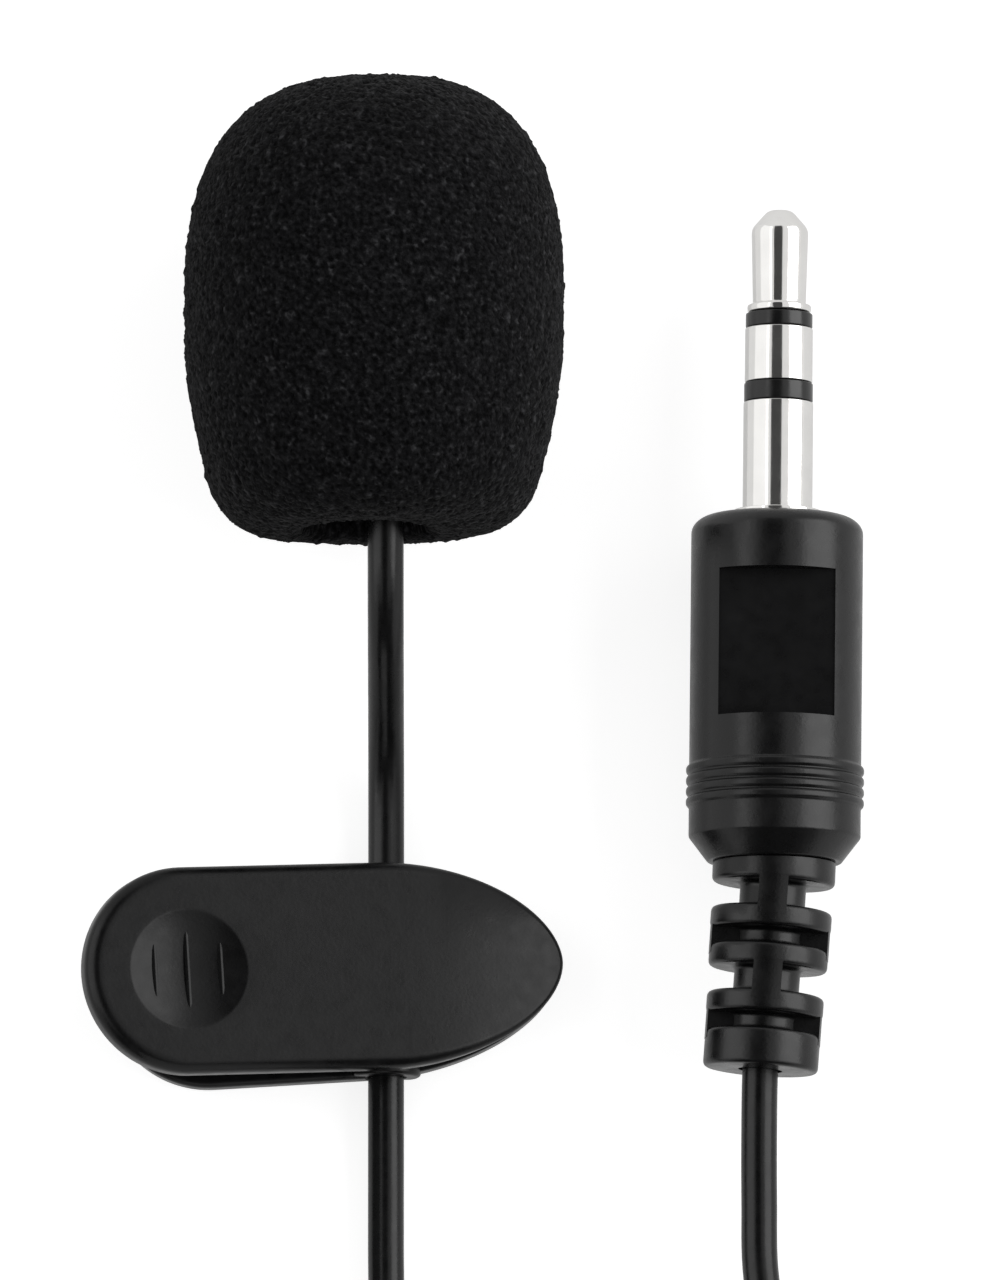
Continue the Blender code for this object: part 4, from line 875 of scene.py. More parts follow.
# Microphone head
def make_head(surfaces):
    bush = [(BUSH_BORE, BUSH_REAR), (BUSH_REAR_RADIUS, BUSH_REAR), (BARREL_RADIUS, BUSH_TAPER_END)]
    bush += stairs(BARREL_RADIUS, BARREL_REAR, SPIGOT_RADIUS, BUSH_FRONT, BUSH_BORE)
    shell = stairs(BARREL_BORE, BARREL_REAR + SEAT_GAP, BARREL_RADIUS, BARREL_FRONT, BARREL_BORE)
    edge = (BARREL_RADIUS - CAP_EDGE_RADIUS, CAP_FRONT - CAP_EDGE_RADIUS)
    under = CAP_FRONT - CAP_WALL
    spigot_end = CAP_REAR - CAP_SPIGOT_LENGTH
    skirt = [(BARREL_RADIUS, CAP_FRONT - CAP_EDGE_RADIUS * 1.2)]
    skirt += stairs(BARREL_RADIUS, CAP_REAR, SPIGOT_RADIUS, spigot_end, CAP_BORE, under, 0.0)
    cap = [(0.0, CAP_FRONT), *arc(edge, CAP_EDGE_RADIUS, math.pi / 2, 0.0, RIM_STEPS)]
    cap += rounded(skirt, EDGE)
    slots = []
    end = CAP_SLOT_WIDTH / 2
    for place in spread(CAP_SLOT_COUNT, CAP_SLOT_PITCH):
        reach = math.sqrt((CAP_SLOT_SPAN / 2) ** 2 - place**2)
        outline = arc((reach, place), end, -math.pi / 2, math.pi / 2, RIM_STEPS)
        outline += arc((-reach, place), end, math.pi / 2, math.pi * 1.5, RIM_STEPS)
        slots.append(prism(outline, under - CUT_MARGIN, CAP_FRONT + CUT_MARGIN))
    pieces = (
        ("head_bush", lathe(rounded(bush, EDGE * 2, True), ring=True), "rubber", "rear_bush", "rubber"),
        ("head_barrel", lathe(rounded(shell, EDGE, True), ring=True), "head", "mic_barrel", "head_plastic"),
        ("head_grille", combined(lathe(cap), cut=slots), "head", "grille_cap", "head_plastic"),
    )
    place_all(pieces, surfaces, MIC_FRAME)


# Clip
def lever_outline(tip_x, length):
    """Evenly spaced points round a lever's plan, with their outward directions."""
    half = CLIP_WIDTH / 2
    power = 2 / JAW_EXPONENT
    points = []
    for x, y in arc((0.0, 0.0), 1.0, -math.pi / 2, math.pi / 2, OUTLINE_STEPS):
        reach = JAW_TAPER * abs(x) ** power
        points.append((tip_x - JAW_TAPER + reach, math.copysign(half * abs(y) ** power, y)))
    points += arc((tip_x - length + half, 0.0), half, math.pi / 2, math.pi * 1.5, OUTLINE_STEPS)
    points = resampled([*points, points[0]], OUTLINE_SPACING)[:-1]
    along = unit(np.roll(points, -1, axis=0) - np.roll(points, 1, axis=0))
    return points, np.stack([along[:, 1], -along[:, 0]], axis=1)


def dimple_rings(centre, toward, high):
    """Rings of a shallow hollow with a softened lip, from its middle outwards."""
    ball = (DIMPLE_RADIUS**2 + DIMPLE_DEPTH**2) / (2 * DIMPLE_DEPTH)
    rings = []
    for step in range(1, DIMPLE_RINGS + 1):
        reach = (DIMPLE_RADIUS - DIMPLE_LIP) * step / DIMPLE_RINGS
        height = high - DIMPLE_DEPTH + ball - math.sqrt(ball**2 - reach**2)
        rings.append((centre + toward * reach, height))
    for step in range(1, ROUND_STEPS + 1):
        share = step / ROUND_STEPS
        reach = DIMPLE_RADIUS + DIMPLE_LIP * (2 * share - 1)
        rings.append((centre + toward * reach, height + (high - height) * (2 * share - share**2)))
    return rings


def lever_plate(tip_x, length, centre, sides, top_radius, dimpled):
    """A plate as rings from its upper face's middle to its lower face, sharper at the jaw's edge."""
    outline, outward = lever_outline(tip_x, length)
    low, high = sides
    centre = np.array(centre)
    toward = unit(outline - centre)
    rings = dimple_rings(centre, toward, high) if dimpled else [(centre + toward * INNER_RING, high)]
    start = rings[-1][0]
    ends = (top_radius, top_radius * JAW_EDGE_SHARE)
    radius = np.interp(outline[:, 0], (tip_x - JAW_TAPER, tip_x), ends)
    flat = outline - outward * radius[:, None]
    for step in range(1, FACE_RINGS + 1):
        rings.append((start + (flat - start) * step / FACE_RINGS, high))
    for step in range(1, RIM_STEPS + 1):
        angle = step / RIM_STEPS * math.pi / 2
        ring = outline - outward * radius[:, None] * (1 - math.sin(angle))
        rings.append((ring, high - radius * (1 - math.cos(angle))))
    for step in range(ROUND_STEPS + 1):
        angle = step / ROUND_STEPS * math.pi / 2
        ring = outline - outward * INNER_EDGE_RADIUS * (1 - math.cos(angle))
        rings.append((ring, low + INNER_EDGE_RADIUS * (1 - math.sin(angle))))
    shape = bmesh.new()
    count = len(outline)
    loops = []
    for ring, height in rings:
        levels = np.broadcast_to(height, count)
        loops.append([shape.verts.new((x, y, z)) for (x, y), z in zip(ring, levels)])
    first = shape.verts.new((*centre, high - DIMPLE_DEPTH if dimpled else high))
    for i in range(count):
        shape.faces.new((first, loops[0][i - 1], loops[0][i]))
    skin(shape, loops)
    shape.faces.new(loops[-1])
    bmesh.ops.recalc_face_normals(shape, faces=shape.faces)
    return shape


def curved_jaw(plate, above):
    """Curves the front lever's face down towards the tip of its jaw."""
    for vert in plate.verts:
        if vert.co.z > above and vert.co.x > FACE_DROP_START:
            share = (vert.co.x - FACE_DROP_START) / (HINGE_FROM_TIP - FACE_DROP_START)
            vert.co.z -= FACE_DROP * share**2
    return plate


def ear(plate_side, inside):
    """A hinge ear about the Y axis that reaches to height plate_side, its inner face at inside."""
    outline = arc((0.0, 0.0), EAR_RADIUS, 0.0, math.pi, EAR_STEPS)
    outline += [(-EAR_RADIUS, -abs(plate_side)), (EAR_RADIUS, -abs(plate_side))]
    if plate_side > 0:
        outline = [(x, -y) for x, y in outline]
    low, high = sorted((-inside, -inside - math.copysign(EAR_THICKNESS, inside)))
    return across(prism(outline, low, high, EDGE))


def hinge_hole(clearance):
    reach = PIN_REACH + CUT_MARGIN
    return across(lathe(stairs(0.0, -reach, PIN_RADIUS + clearance, reach, 0.0), SMALL_SEGMENTS))


def tooth(x, face, height):
    """A low ridge across the jaw with a rounded crest."""
    half = abs(height)
    root = face - math.copysign(UNION_OVERLAP, height)
    crest = rounded([(x + half, face), (x, face + height), (x - half, face)], half * 0.5)
    outline = [(x - half, root), (x + half, root), *crest]
    return across(prism(outline, -TOOTH_SPAN / 2, TOOTH_SPAN / 2))


def along_cable(shape):
    """Turns a shape of the clip back from the clip's skew, in line with the cable."""
    shape.transform(Matrix.Rotation(-CLIP_SKEW, 4, "Z"))
    return shape


def make_front_lever(surfaces):
    inner = HINGE_TO_PLATE
    face = inner + FRONT_THICKNESS
    dimple_x = HINGE_FROM_TIP - CLIP_LENGTH + DIMPLE_FROM_END
    sides = (inner, face)
    plate = lever_plate(HINGE_FROM_TIP, CLIP_LENGTH, (dimple_x, 0.0), sides, FRONT_EDGE_RADIUS, True)
    plate = curved_jaw(plate, (inner + face) / 2)
    added = [ear(inner + UNION_OVERLAP, side * FRONT_EAR_INSIDE) for side in (1, -1)]
    for number in range(TOOTH_COUNT - 1):
        x = HINGE_FROM_TIP - FIRST_TOOTH_FROM_TIP - (number + 0.5) * TOOTH_PITCH
        added.append(tooth(x, inner, -TOOTH_HEIGHT))
    shape = combined(plate, added, [hinge_hole(RUNNING_FIT)])
    lever = add_piece("clip_front", shape, surfaces["clip"], LEVER_FRAME)
    dress(lever, "clip_lever", ["clip_front_lever"])
    for number, place in enumerate(spread(RIDGE_COUNT, RIDGE_PITCH), 1):
        top = face - RIDGE_BELOW_FACE - RIDGE_SAG * (1 - (place / RIDGE_PITCH) ** 2)
        reach = math.sqrt(RIDGE_REACH**2 - place**2)
        x = dimple_x + place
        low = (x - RIDGE_WIDTH / 2, -reach, face - DIMPLE_DEPTH - UNION_OVERLAP)
        ridge = block(low, (x + RIDGE_WIDTH / 2, reach, top), RIDGE_WIDTH * RIDGE_ROUNDING)
        ridge = add_piece(f"thumb_ridge_{number}", ridge, surfaces["clip"], LEVER_FRAME)
        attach(ridge, "clip_lever")


def make_rear_lever(surfaces):
    length = CLIP_LENGTH - REAR_LEVER_SHORTER
    plate = lever_plate(JAW_TIP_X, length, (0.0, 0.0), (0.0, REAR_THICKNESS), REAR_EDGE_RADIUS, False)
    hinge = (HINGE_X, 0.0, HINGE_Z)
    foot = -HINGE_TO_PLATE - UNION_OVERLAP
    added = [shifted(ear(foot, side * REAR_EAR_INSIDE), hinge) for side in (1, -1)]
    for number in range(TOOTH_COUNT):
        x = JAW_TIP_X - FIRST_TOOTH_FROM_TIP - number * TOOTH_PITCH
        added.append(tooth(x, REAR_THICKNESS, TOOTH_HEIGHT))
    place = (CABLE_X, 0.0, CABLE_HEIGHT)
    rib_radius = GROOVE_RADIUS + RIB_WALL
    rib_end = CLIP_WIDTH / 2 - RIB_END_INSET
    rib = rounded(stairs(0.0, -rib_end, rib_radius, rib_end, 0.0), RIB_EDGE)
    added.append(along_cable(across(lathe(rib, SMALL_SEGMENTS), place)))
    below = -rib_radius - CUT_MARGIN
    far = CLIP_WIDTH
    half = GROOVE_MOUTH / 2
    channel = stairs(0.0, -far, GROOVE_RADIUS, far, 0.0)
    cut = [
        block((-CLIP_LENGTH, -far, below), (CLIP_LENGTH, far, 0.0)),
        along_cable(across(lathe(channel, SMALL_SEGMENTS), place)),
        along_cable(block((CABLE_X - half, -far, below), (CABLE_X + half, far, CABLE_HEIGHT))),
        shifted(hinge_hole(PRESS_FIT), hinge),
    ]
    lever = add_piece("clip_rear", combined(plate, added, cut), surfaces["clip"], CLIP_FRAME)
    dress(lever, "clip_base", ["clip_rear_lever"])


def make_hinge(surfaces):
    """The pin with rounded ends, and the torsion spring with its legs along the levers at rest."""
    hinge = Vector((HINGE_X, 0.0, HINGE_Z))
    pin = rounded(stairs(0.0, -PIN_REACH, PIN_RADIUS, PIN_REACH, 0.0), EDGE * 3)
    pin = add_piece("clip_pin", across(lathe(pin, SMALL_SEGMENTS), hinge), surfaces["steel"], CLIP_FRAME)
    dress(pin, "clip_base", ["hinge_pin"])
    sweep_angle = math.pi - lever_angle() + SPRING_WHOLE_CURLS * math.tau
    width = SPRING_PITCH * sweep_angle / math.tau
    curls = []
    for step in range(SPRING_STEPS + 1):
        angle = -math.pi / 2 + sweep_angle * step / SPRING_STEPS
        y = width * (step / SPRING_STEPS - 0.5)
        curls.append(hinge + Vector((SPRING_RADIUS * math.cos(angle), y, SPRING_RADIUS * math.sin(angle))))
    rear_leg = Vector((-1.0, 0.0, 0.0)) * SPRING_LEG_LENGTH
    front_leg = Vector((-math.cos(lever_angle()), 0.0, math.sin(lever_angle()))) * SPRING_LEG_LENGTH
    shares = [1 - step / SPRING_LEG_STEPS for step in range(SPRING_LEG_STEPS)]
    points = [curls[0] + rear_leg * share for share in shares]
    points += curls
    points += [curls[-1] + front_leg * share for share in reversed(shares)]
    frames = []
    for index, point in enumerate(points):
        ahead = points[min(index + 1, len(points) - 1)] - points[max(index - 1, 0)]
        side = ahead.cross(Vector((0.0, 1.0, 0.0))).normalized()
        frames.append((point, side, ahead.cross(side).normalized()))
    wire = sweep(frames, circle(SPRING_WIRE_RADIUS, SPRING_WIRE_SIDES), False)
    spring = add_piece("clip_spring", wire, surfaces["steel"], CLIP_FRAME)
    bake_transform(spring)
    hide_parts("torsion_spring")


# Plug
def make_contacts(surfaces):
    """The five contacts and bands, as turned pieces."""
    tail = -SLEEVE_TAIL - TAIL_STEP * 4
    collar = (TIP_BAND_TOP + TIP_COLLAR_LENGTH, TIP_COLLAR_RADIUS, TIP_BAND_TOP + SEAT_GAP)
    tip = [(0.0, TIP_END), (TIP_NOSE_RADIUS, TIP_END), (TIP_RADIUS, TIP_END - TIP_NOSE_LENGTH)]
    tip += stairs(TIP_NECK_RADIUS, *collar, TIP_ROD_RADIUS, tail, 0.0)
    shapes = [("contact_tip", lathe(rounded(tip, TIP_EDGE)), "nickel", "plug_tip", "nickel")]
    black = ("band", "insulator")
    bright = ("nickel", "nickel")
    stack = (
        ("plug_band_upper", TIP_BAND_RADIUS, RING_TOP, TIP_BAND_TOP, black, "tip_insulator"),
        ("plug_contact_ring", RING_RADIUS, RING_BAND_TOP, RING_TOP, bright, "plug_ring"),
        ("plug_band_lower", RING_BAND_RADIUS, SLEEVE_TOP, RING_BAND_TOP, black, "ring_insulator"),
    )
    bore = TIP_ROD_RADIUS + PRESS_FIT
    for name, head, low, high, (finish, slot), solid in stack:
        shank = bore + CONTACT_WALL
        tail += TAIL_STEP
        profile = stairs(bore, high, head, low + SEAT_GAP, shank, tail, bore)
        shapes.append((name, lathe(rounded(profile, EDGE, True), ring=True), finish, solid, slot))
        bore = shank + PRESS_FIT
    flange = (SLEEVE_RADIUS, FLANGE_PROUD, FLANGE_RADIUS, -FLANGE_SUNK, SLEEVE_RADIUS)
    sleeve = lathe(rounded(stairs(bore, SLEEVE_TOP, *flange, -SLEEVE_TAIL, bore), EDGE, True), ring=True)
    shapes.append(("contact_sleeve", sleeve, "nickel", "plug_sleeve", "nickel"))
    return place_all(shapes, surfaces, PLUG_FRAME)


def make_plug_body(surfaces):
    """The over-mould with its grip rings and the recessed flat panel."""
    front_bore = FLANGE_RADIUS + PRESS_FIT
    rear_bore = RELIEF_SPIGOT_RADIUS + PRESS_FIT
    profile = [(front_bore, 0.0)]
    for x, y in arc((0.0, 0.0), 1.0, math.pi / 2, 0.0, BODY_EDGE_STEPS):
        profile.append((BODY_RADIUS - BODY_EDGE_WIDTH * (1 - x), -BODY_EDGE_DEPTH * (1 - y)))
    grips = [(BODY_RADIUS, -GRIP_START + GRIP_GROOVE)]
    for number in range(GRIP_COUNT):
        top = -GRIP_START - number * GRIP_PITCH
        grips.append((BODY_RADIUS, top))
        grips.append((BODY_RADIUS + GRIP_HEIGHT, top - GRIP_GROOVE))
        grips.append((BODY_RADIUS + GRIP_HEIGHT, top - GRIP_PITCH + GRIP_GROOVE))
    grips += [
        (BODY_RADIUS, -GRIP_START - GRIP_COUNT * GRIP_PITCH),
        (BODY_RADIUS, -BODY_LENGTH + CONE_LENGTH),
        (CONE_END_RADIUS, -BODY_LENGTH),
        (rear_bore, -BODY_LENGTH),
    ]
    profile += rounded(grips, EDGE * 1.5)
    profile += stairs(rear_bore, BODY_BORE_REAR, BODY_BORE, BODY_BORE_FRONT, front_bore)
    floor = PANEL_DEPTH - BODY_RADIUS
    low = (-PANEL_WIDTH / 2, -BODY_RADIUS - CUT_MARGIN, -PANEL_START - PANEL_LENGTH)
    cutter = block(low, (PANEL_WIDTH / 2, floor, -PANEL_START))
    shape = combined(lathe(profile, ring=True), cut=[cutter])
    body = add_piece("plug_over_mould", shape, surfaces["plug"])
    body.data.materials.append(surfaces["panel"])
    for face in body.data.polygons:
        if abs(face.center.y - floor) < WELD * 100 and abs(face.normal.y) > FLAT_NORMAL:
            face.material_index = 1
    body.data.transform(PLUG_FRAME)
    return dress(body, "microphone", ["plug_body"])


def relief_bend(z):
    """How far the strain relief leans, and has turned, at a height of the plug's axis."""
    reach = max(0.0, -BODY_LENGTH - z)
    eased = reach + RELIEF_LEAN_EASE
    slope = RELIEF_LEAN * (reach**2 + 2 * reach * RELIEF_LEAN_EASE) / eased**2
    return -RELIEF_LEAN * reach**2 / eased, math.atan(slope)


def web_outline(radius, half):
    """A bar along X with ends rounded to a radius about the origin."""
    reach = math.asin(half / radius)
    right = arc((0.0, 0.0), radius, -reach, reach, RIM_STEPS)
    return right + [(-x, -y) for x, y in right]


def make_strain_relief(surfaces):
    """Discs on a round core with a web across each slot, bent to follow the cable."""
    top = -BODY_LENGTH - SEAT_GAP
    front = -BODY_LENGTH + RELIEF_SPIGOT_LENGTH
    spigot = stairs(0.0, front, RELIEF_SPIGOT_RADIUS, top)
    discs = []
    webs = []
    for number in range(RELIEF_SLOT_COUNT + 1):
        share = number / RELIEF_SLOT_COUNT
        radius = RELIEF_START_RADIUS + (RELIEF_END_RADIUS - RELIEF_START_RADIUS) * share
        last = number == RELIEF_SLOT_COUNT
        bottom = top - (RELIEF_END_LENGTH if last else RELIEF_DISC_LENGTH)
        discs += [(radius, top), (radius, bottom)]
        if last:
            break
        top = bottom - (RELIEF_FACE_SLOT_LENGTH if number % 2 else RELIEF_SIDE_SLOT_LENGTH)
        discs += [(RELIEF_CORE_RADIUS, bottom), (RELIEF_CORE_RADIUS, top)]
        web = web_outline(radius - WEB_EDGE, RELIEF_WEB_WIDTH / 2)
        if number % 2 == 0:
            web = [(-y, x) for x, y in web]
        reach = RELIEF_EDGE + UNION_OVERLAP
        webs.append(prism(web, top - reach, bottom + reach))
    discs.append((0.0, bottom))
    levels = [bottom - CUT_MARGIN]
    for number in range(RELIEF_BORE_STEPS + 1):
        levels.append(bottom + (-BODY_LENGTH - bottom) * (number + 0.5) / (RELIEF_BORE_STEPS + 1))
    levels.append(front + CUT_MARGIN)
    bore = [(0.0, levels[0]), *((RELIEF_BORE, level) for level in levels), (0.0, levels[-1])]
    shape = combined(lathe(spigot + rounded(discs, RELIEF_EDGE)), webs, [lathe(bore, SMALL_SEGMENTS)])
    for vert in shape.verts:
        x, y, z = vert.co
        lean, turn = relief_bend(z)
        vert.co = (lean + x * math.cos(turn), y, z - x * math.sin(turn))
    relief = add_piece("plug_relief", shape, surfaces["plug"], PLUG_FRAME)
    return dress(relief, "microphone", ["strain_relief"])


# Cable and ties
def smooth_route(route):
    """Evenly spaced points on a Catmull-Rom curve through the route's points."""
    knots = [Vector(point) for point in route]
    knots = [knots[0] * 2 - knots[1], *knots, knots[-1] * 2 - knots[-2]]
    fine = []
    for a, b, c, d in zip(knots, knots[1:], knots[2:], knots[3:]):
        for step in range(ROUTE_STEPS):
            t = step / ROUTE_STEPS
            bend = (a * 2 - b * 5 + c * 4 - d) * t**2 + (b * 3 - a - c * 3 + d) * t**3
            fine.append((b * 2 + (c - a) * t + bend) / 2)
    fine.append(knots[-2])
    return [Vector(point) for point in resampled(fine, CABLE_SPACING)]


def coil_point(turn):
    """A point of the stored cable after so many turns, from its outer end on the bottom layer."""
    span = TURNS_PER_LAYER + REVERSING_TURN
    layer = min(int(turn / span), COIL_LAYERS - 1)
    within = turn - layer * span
    climbing = max(0.0, within - TURNS_PER_LAYER)
    travel = COIL_PITCH * min(within, TURNS_PER_LAYER)
    travel += COIL_PITCH * (climbing - climbing**2 / REVERSING_TURN)
    radius = COIL_INNER_RADIUS + travel if layer % 2 else COIL_OUTER_RADIUS - travel
    ease = (1 - math.cos(math.pi * climbing / REVERSING_TURN)) / 2
    angle = math.pi + turn * math.tau
    x = COIL_CENTRE[0] + radius * math.cos(angle)
    y = COIL_CENTRE[1] + radius * math.sin(angle)
    return Vector((x, y, COIL_BASE + (layer + ease) * COIL_PITCH))


def make_cable(surfaces):
    """One cable from the head through the clip and the coil to the plug."""
    from_mic = [MIC_FRAME @ Vector((0.0, 0.0, level)) for level in CABLE_IN_HEAD]
    levels = [CABLE_IN_PLUG, -BODY_LENGTH + RELIEF_END_LENGTH]
    for number in range(RELIEF_SLOT_COUNT + 1):
        levels.append(-BODY_LENGTH + (RELIEF_REAR + BODY_LENGTH) * number / RELIEF_SLOT_COUNT)
    held = [PLUG_FRAME @ Vector((relief_bend(z)[0], 0.0, z)) for z in levels]
    turns = COIL_LAYERS * TURNS_PER_LAYER + (COIL_LAYERS - 1) * REVERSING_TURN
    steps = round(turns * POINTS_PER_LOOP)
    coil = [coil_point(turns * step / steps) for step in range(steps + 1)]
    points = smooth_route([*from_mic, *MIC_ROUTE]) + coil + smooth_route([*held, *PLUG_ROUTE])[::-1]
    data = bpy.data.curves.new("lead", "CURVE")
    data.dimensions = "3D"
    data.bevel_depth = CABLE_DIAMETER / 2
    data.bevel_resolution = CABLE_ROUNDNESS
    data.use_fill_caps = True
    data.materials.append(surfaces["cable"])
    spline = data.splines.new("POLY")
    spline.points.add(len(points) - 1)
    for target, point in zip(spline.points, points):
        target.co = (*point, 1.0)
    spline.use_smooth = True
    nodes = ["cable_mic_run", "cable_coil", "cable_plug_run"]
    return dress(link_object("lead", data), "microphone", nodes)


def tie_section():
    """Half-round wire rib in the middle of a flat ribbon."""
    half, thick, wire = TIE_WIDTH / 2, TIE_THICKNESS, TIE_WIRE_WIDTH / 2
    crest = [(wire, thick + TIE_WIRE_RIB), (-wire, thick + TIE_WIRE_RIB)]
    outline = [(-half, 0.0), (half, 0.0), (half, thick), (wire * 2, thick), *crest]
    outline += [(-wire * 2, thick), (-half, thick)]
    return rounded(outline, EDGE * 2, True)


def make_ties(surfaces):
    """Two wire ties round the coil, each a ribbon with a twisted tail."""
    near = COIL_INNER_RADIUS - COIL_BULGE - CABLE_DIAMETER / 2 - TIE_CLEARANCE
    far = COIL_OUTER_RADIUS + COIL_BULGE + CABLE_DIAMETER / 2 + TIE_CLEARANCE
    high = COIL_BASE + (COIL_LAYERS - 1) * COIL_PITCH + CABLE_DIAMETER / 2 + TIE_CLEARANCE
    low = TIE_THICKNESS + TIE_WIRE_RIB
    corner = TIE_CORNER_RADIUS
    across_tail, thick_tail = TIE_TAIL_SECTION
    flat = [(x * across_tail, y * thick_tail) for x, y in circle(1.0, TIE_TAIL_SIDES)]
    corners = stairs(far - corner, high - corner, near + corner, low + corner, far - corner)
    frames = []
    for quarter, (x, z) in enumerate(corners):
        for step in range(TIE_CORNER_STEPS + 1):
            angle = (quarter + step / TIE_CORNER_STEPS) * math.pi / 2
            up = Vector((math.cos(angle), 0.0, math.sin(angle)))
            frames.append((Vector((x, 0.0, z)) + up * corner, Vector((0.0, 1.0, 0.0)), up))
    middle = Vector(((near + far) / 2, 0.0, high + TIE_THICKNESS + thick_tail * TIE_TAIL_LIFT))
    tail = []
    for step in range(TIE_TAIL_STEPS + 1):
        share = step / TIE_TAIL_STEPS
        twist = share * TIE_TAIL_TURNS * math.tau
        side = Vector((math.cos(twist), 0.0, math.sin(twist)))
        up = Vector((-math.sin(twist), 0.0, math.cos(twist)))
        along = Vector((0.0, TIE_WIDTH / 4 - TIE_TAIL_LENGTH * share, 0.0))
        tail.append((middle + along, side, up))
    made = []
    for name, solid, turn in (("tie_near", "cable_tie_near", 0.0), ("tie_far", "cable_tie_far", math.pi)):
        place = Matrix.Translation((*COIL_CENTRE, 0.0)) @ Matrix.Rotation(turn + math.pi / 2, 4, "Z")
        shape = combined(sweep(frames, tie_section(), True), [sweep(tail, flat, False)])
        made += place_all([(name, shape, "tie", solid, "rubber")], surfaces, place)
    return made


# Carried-over solids
def finish_solids(solids, surfaces):
    """Gives each inner solid its own finish."""
    finishes = {
        "mesh_screen": "gauze",
        "dust_felt": "felt",
        "capsule_can": "aluminium",
        "diaphragm": "film",
        "backplate": "brass",
        "contact_ring": "brass",
        "capsule_board": "board",
        "capsule_boot": "rubber",
        "cable_stop": "aluminium",
        "signal_wire": "red",
        "shield_wire": "copper",
        "plug_inner_mould": "mould",
        "plug_signal_wire": "red",
        "plug_shield_wire": "copper",
    }
    for name, finish in finishes.items():
        data = solids[name].data
        data.materials.clear()
        data.materials.append(surfaces[finish])


# Stage
def glow_strength(tree, seen, glossy, other):
    """A glow for the rays that look at the background, for reflections, and for all other rays."""
    path = node(tree, "LightPath").outputs
    direct = maths(tree, "MAXIMUM", path["Is Camera Ray"], path["Is Transmission Ray"])
    base = ranged(tree, path["Is Glossy Ray"], other, glossy, 0.0, 1.0)
    return node(tree, "Mix", {"Factor": direct, "A": base, "B": seen}).outputs["Result"]


def make_world():
    world = bpy.data.worlds.new("studio")
    bpy.context.scene.world = world
    world.use_nodes = True
    tree = world.node_tree
    strength = glow_strength(tree, ROOM_GLOW, ROOM_SHEEN, ROOM_FILL)
    set_inputs(tree, tree.nodes["Background"], {"Color": WHITE, "Strength": strength})


def make_floor():
    shape = bmesh.new()
    bmesh.ops.create_grid(shape, x_segments=1, y_segments=1, size=FLOOR_SIZE / 2)
    made = bpy.data.materials.new("white_floor")
    made.use_nodes = True
    tree = made.node_tree
    tree.nodes.clear()
    plain = node(tree, "BsdfDiffuse", {"Color": (FLOOR_COLOUR, FLOOR_COLOUR, FLOOR_COLOUR, 1.0)})
    glow = node(tree, "Emission", {"Strength": glow_strength(tree, FLOOR_GLOW, FLOOR_SHEEN, 0.0)})
    both = node(tree, "AddShader", {0: plain.outputs[0], 1: glow.outputs[0]})
    node(tree, "OutputMaterial", {"Surface": both.outputs[0]})
    add_piece("floor", shape, made)


def soft_box(name, start, end, radiance):
    """A long area lamp between two angles from the vertical, whose power gives it this radiance."""
    sides = [Vector((math.sin(angle), 0.0, math.cos(angle))) for angle in (start, end)]
    low, high = (BOX_CENTRE + side * BOX_DISTANCE for side in sides)
    span = high - low
    data = bpy.data.lights.new(name, "AREA")
    data.shape = "RECTANGLE"
    data.size = span.length
    data.size_y = BOX_LENGTH
    data.energy = math.pi * span.length * BOX_LENGTH * radiance
    lamp = link_object(name, data)
    lamp.location = (low + high) / 2
    lamp.rotation_euler = (0.0, math.atan2(-span.z, span.x), 0.0)


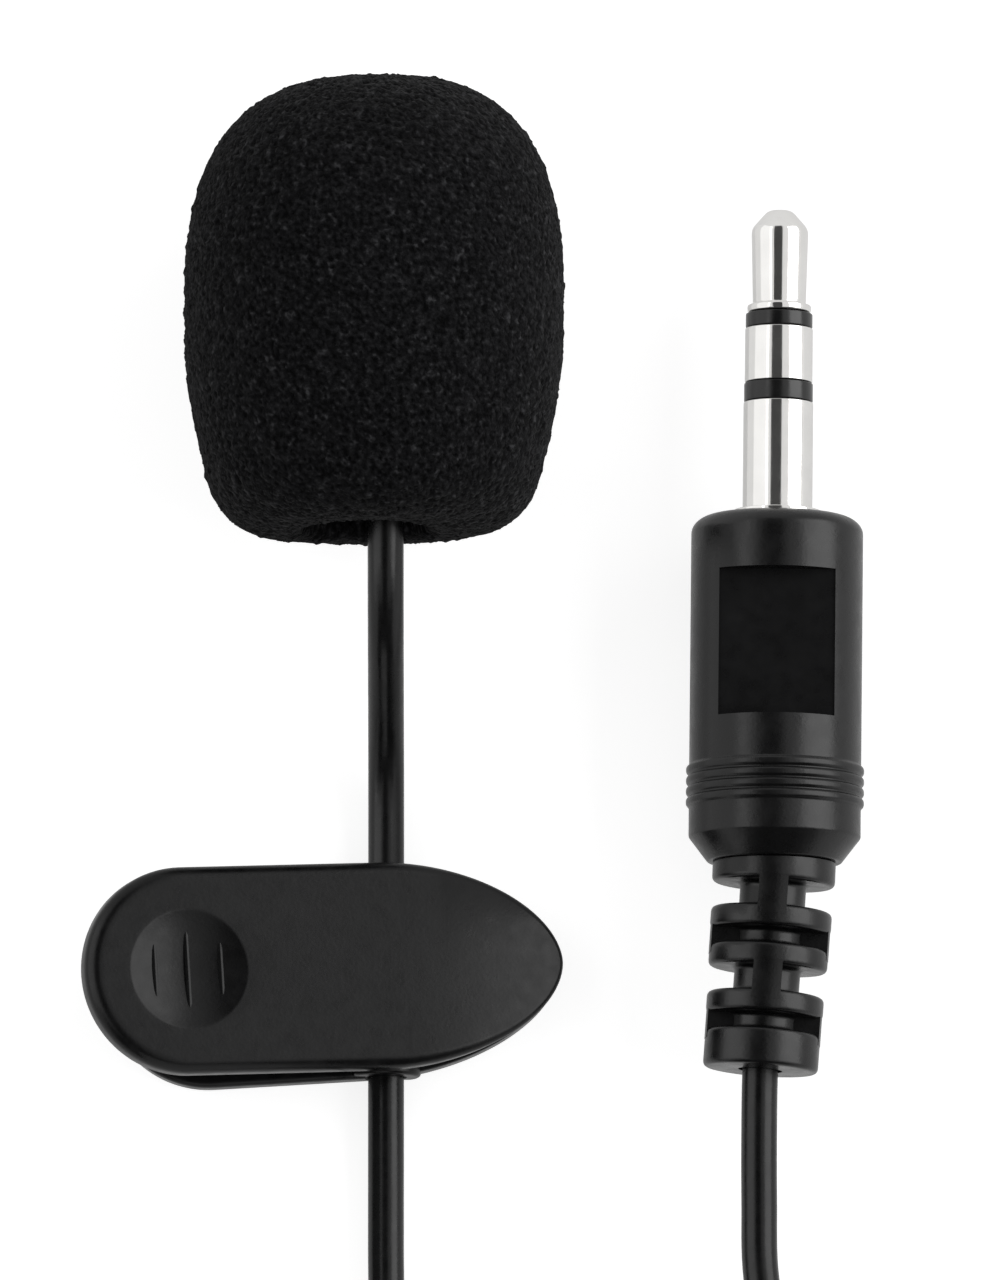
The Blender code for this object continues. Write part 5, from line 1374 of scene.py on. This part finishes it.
def card(name, place, turn, size, glow, fade=0.0):
    """A card that only reflections see. Over the fade, at its lower end, its glow becomes the room's."""
    shape = bmesh.new()
    bmesh.ops.create_grid(shape, x_segments=1, y_segments=1, size=0.5)
    shape.transform(Matrix.Diagonal((*size, 1.0, 1.0)))
    made, tree, shader = surface(name, 1.0, specular=0.0)
    strength = glow
    if fade:
        spot = node(tree, "SeparateXYZ", {"Vector": node(tree, "TexCoord").outputs["Object"]})
        end = -size[1] / 2
        strength = ranged(tree, spot.outputs["Y"], ROOM_SHEEN, glow, end, end + fade)
    inputs = {"Base Color": BLACK, "Emission Color": WHITE, "Emission Strength": strength}
    set_inputs(tree, shader, inputs)
    sheet = add_piece(name, shape, made)
    sheet.location = place
    sheet.rotation_euler = turn
    sheet.visible_camera = False
    sheet.visible_diffuse = False
    sheet.visible_shadow = False


def make_lights():
    """Two soft boxes; cards that paint reflections: a dark ceiling and front as round the camera, and small
    cards close to the object.
    """
    soft_box("box_right", *RIGHT_BOX)
    soft_box("box_left", *LEFT_BOX)
    card("card_over", *OVER_CARD)
    card("card_front", *FRONT_CARD)
    for name, (rear, front, top, low_glow, high_glow) in (("pin", PIN_CARDS), ("plug", PLUG_CARDS)):
        for part, low, high, glow in (
            ("low", 0.0, SIDE_CARD_SPLIT, low_glow),
            ("high", SIDE_CARD_SPLIT, top, high_glow),
        ):
            place = (SIDE_CARD_X, (rear + front) / 2, (low + high) / 2)
            card(f"card_{name}_{part}", place, UPRIGHT, (high - low, front - rear), glow)
    card("card_below", *BELOW_CARD)
    card("card_clip", *CLIP_CARD)


def make_camera():
    data = bpy.data.cameras.new("photograph")
    data.sensor_width = SENSOR
    data.lens = SENSOR * VIEW_DISTANCE / VIEW_HEIGHT
    data.clip_start = VIEW_NEAR
    data.clip_end = VIEW_FAR
    camera = link_object("photograph", data)
    back = Vector((0.0, -math.cos(VIEW_ELEVATION), math.sin(VIEW_ELEVATION)))
    camera.location = VIEW_TARGET + back * VIEW_DISTANCE
    camera.rotation_euler = (VIEW_TARGET - camera.location).to_track_quat("-Z", "Y").to_euler()
    bpy.context.scene.camera = camera


def main():
    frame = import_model()
    bpy.context.scene.view_settings.view_transform = "Standard"
    surfaces = make_surfaces()
    make_camera()
    lead = make_cable(surfaces)
    finish_solids(frame["nodes"], surfaces)
    make_foam(surfaces)
    make_head(surfaces)
    make_front_lever(surfaces)
    make_rear_lever(surfaces)
    make_hinge(surfaces)
    on_lead = make_contacts(surfaces)
    on_lead.append(make_plug_body(surfaces))
    on_lead.append(make_strain_relief(surfaces))
    on_lead += make_ties(surfaces)
    on_lead += ["plug_inner_mould", "plug_signal_wire", "plug_shield_wire"]
    make_world()
    make_floor()
    make_lights()


main()
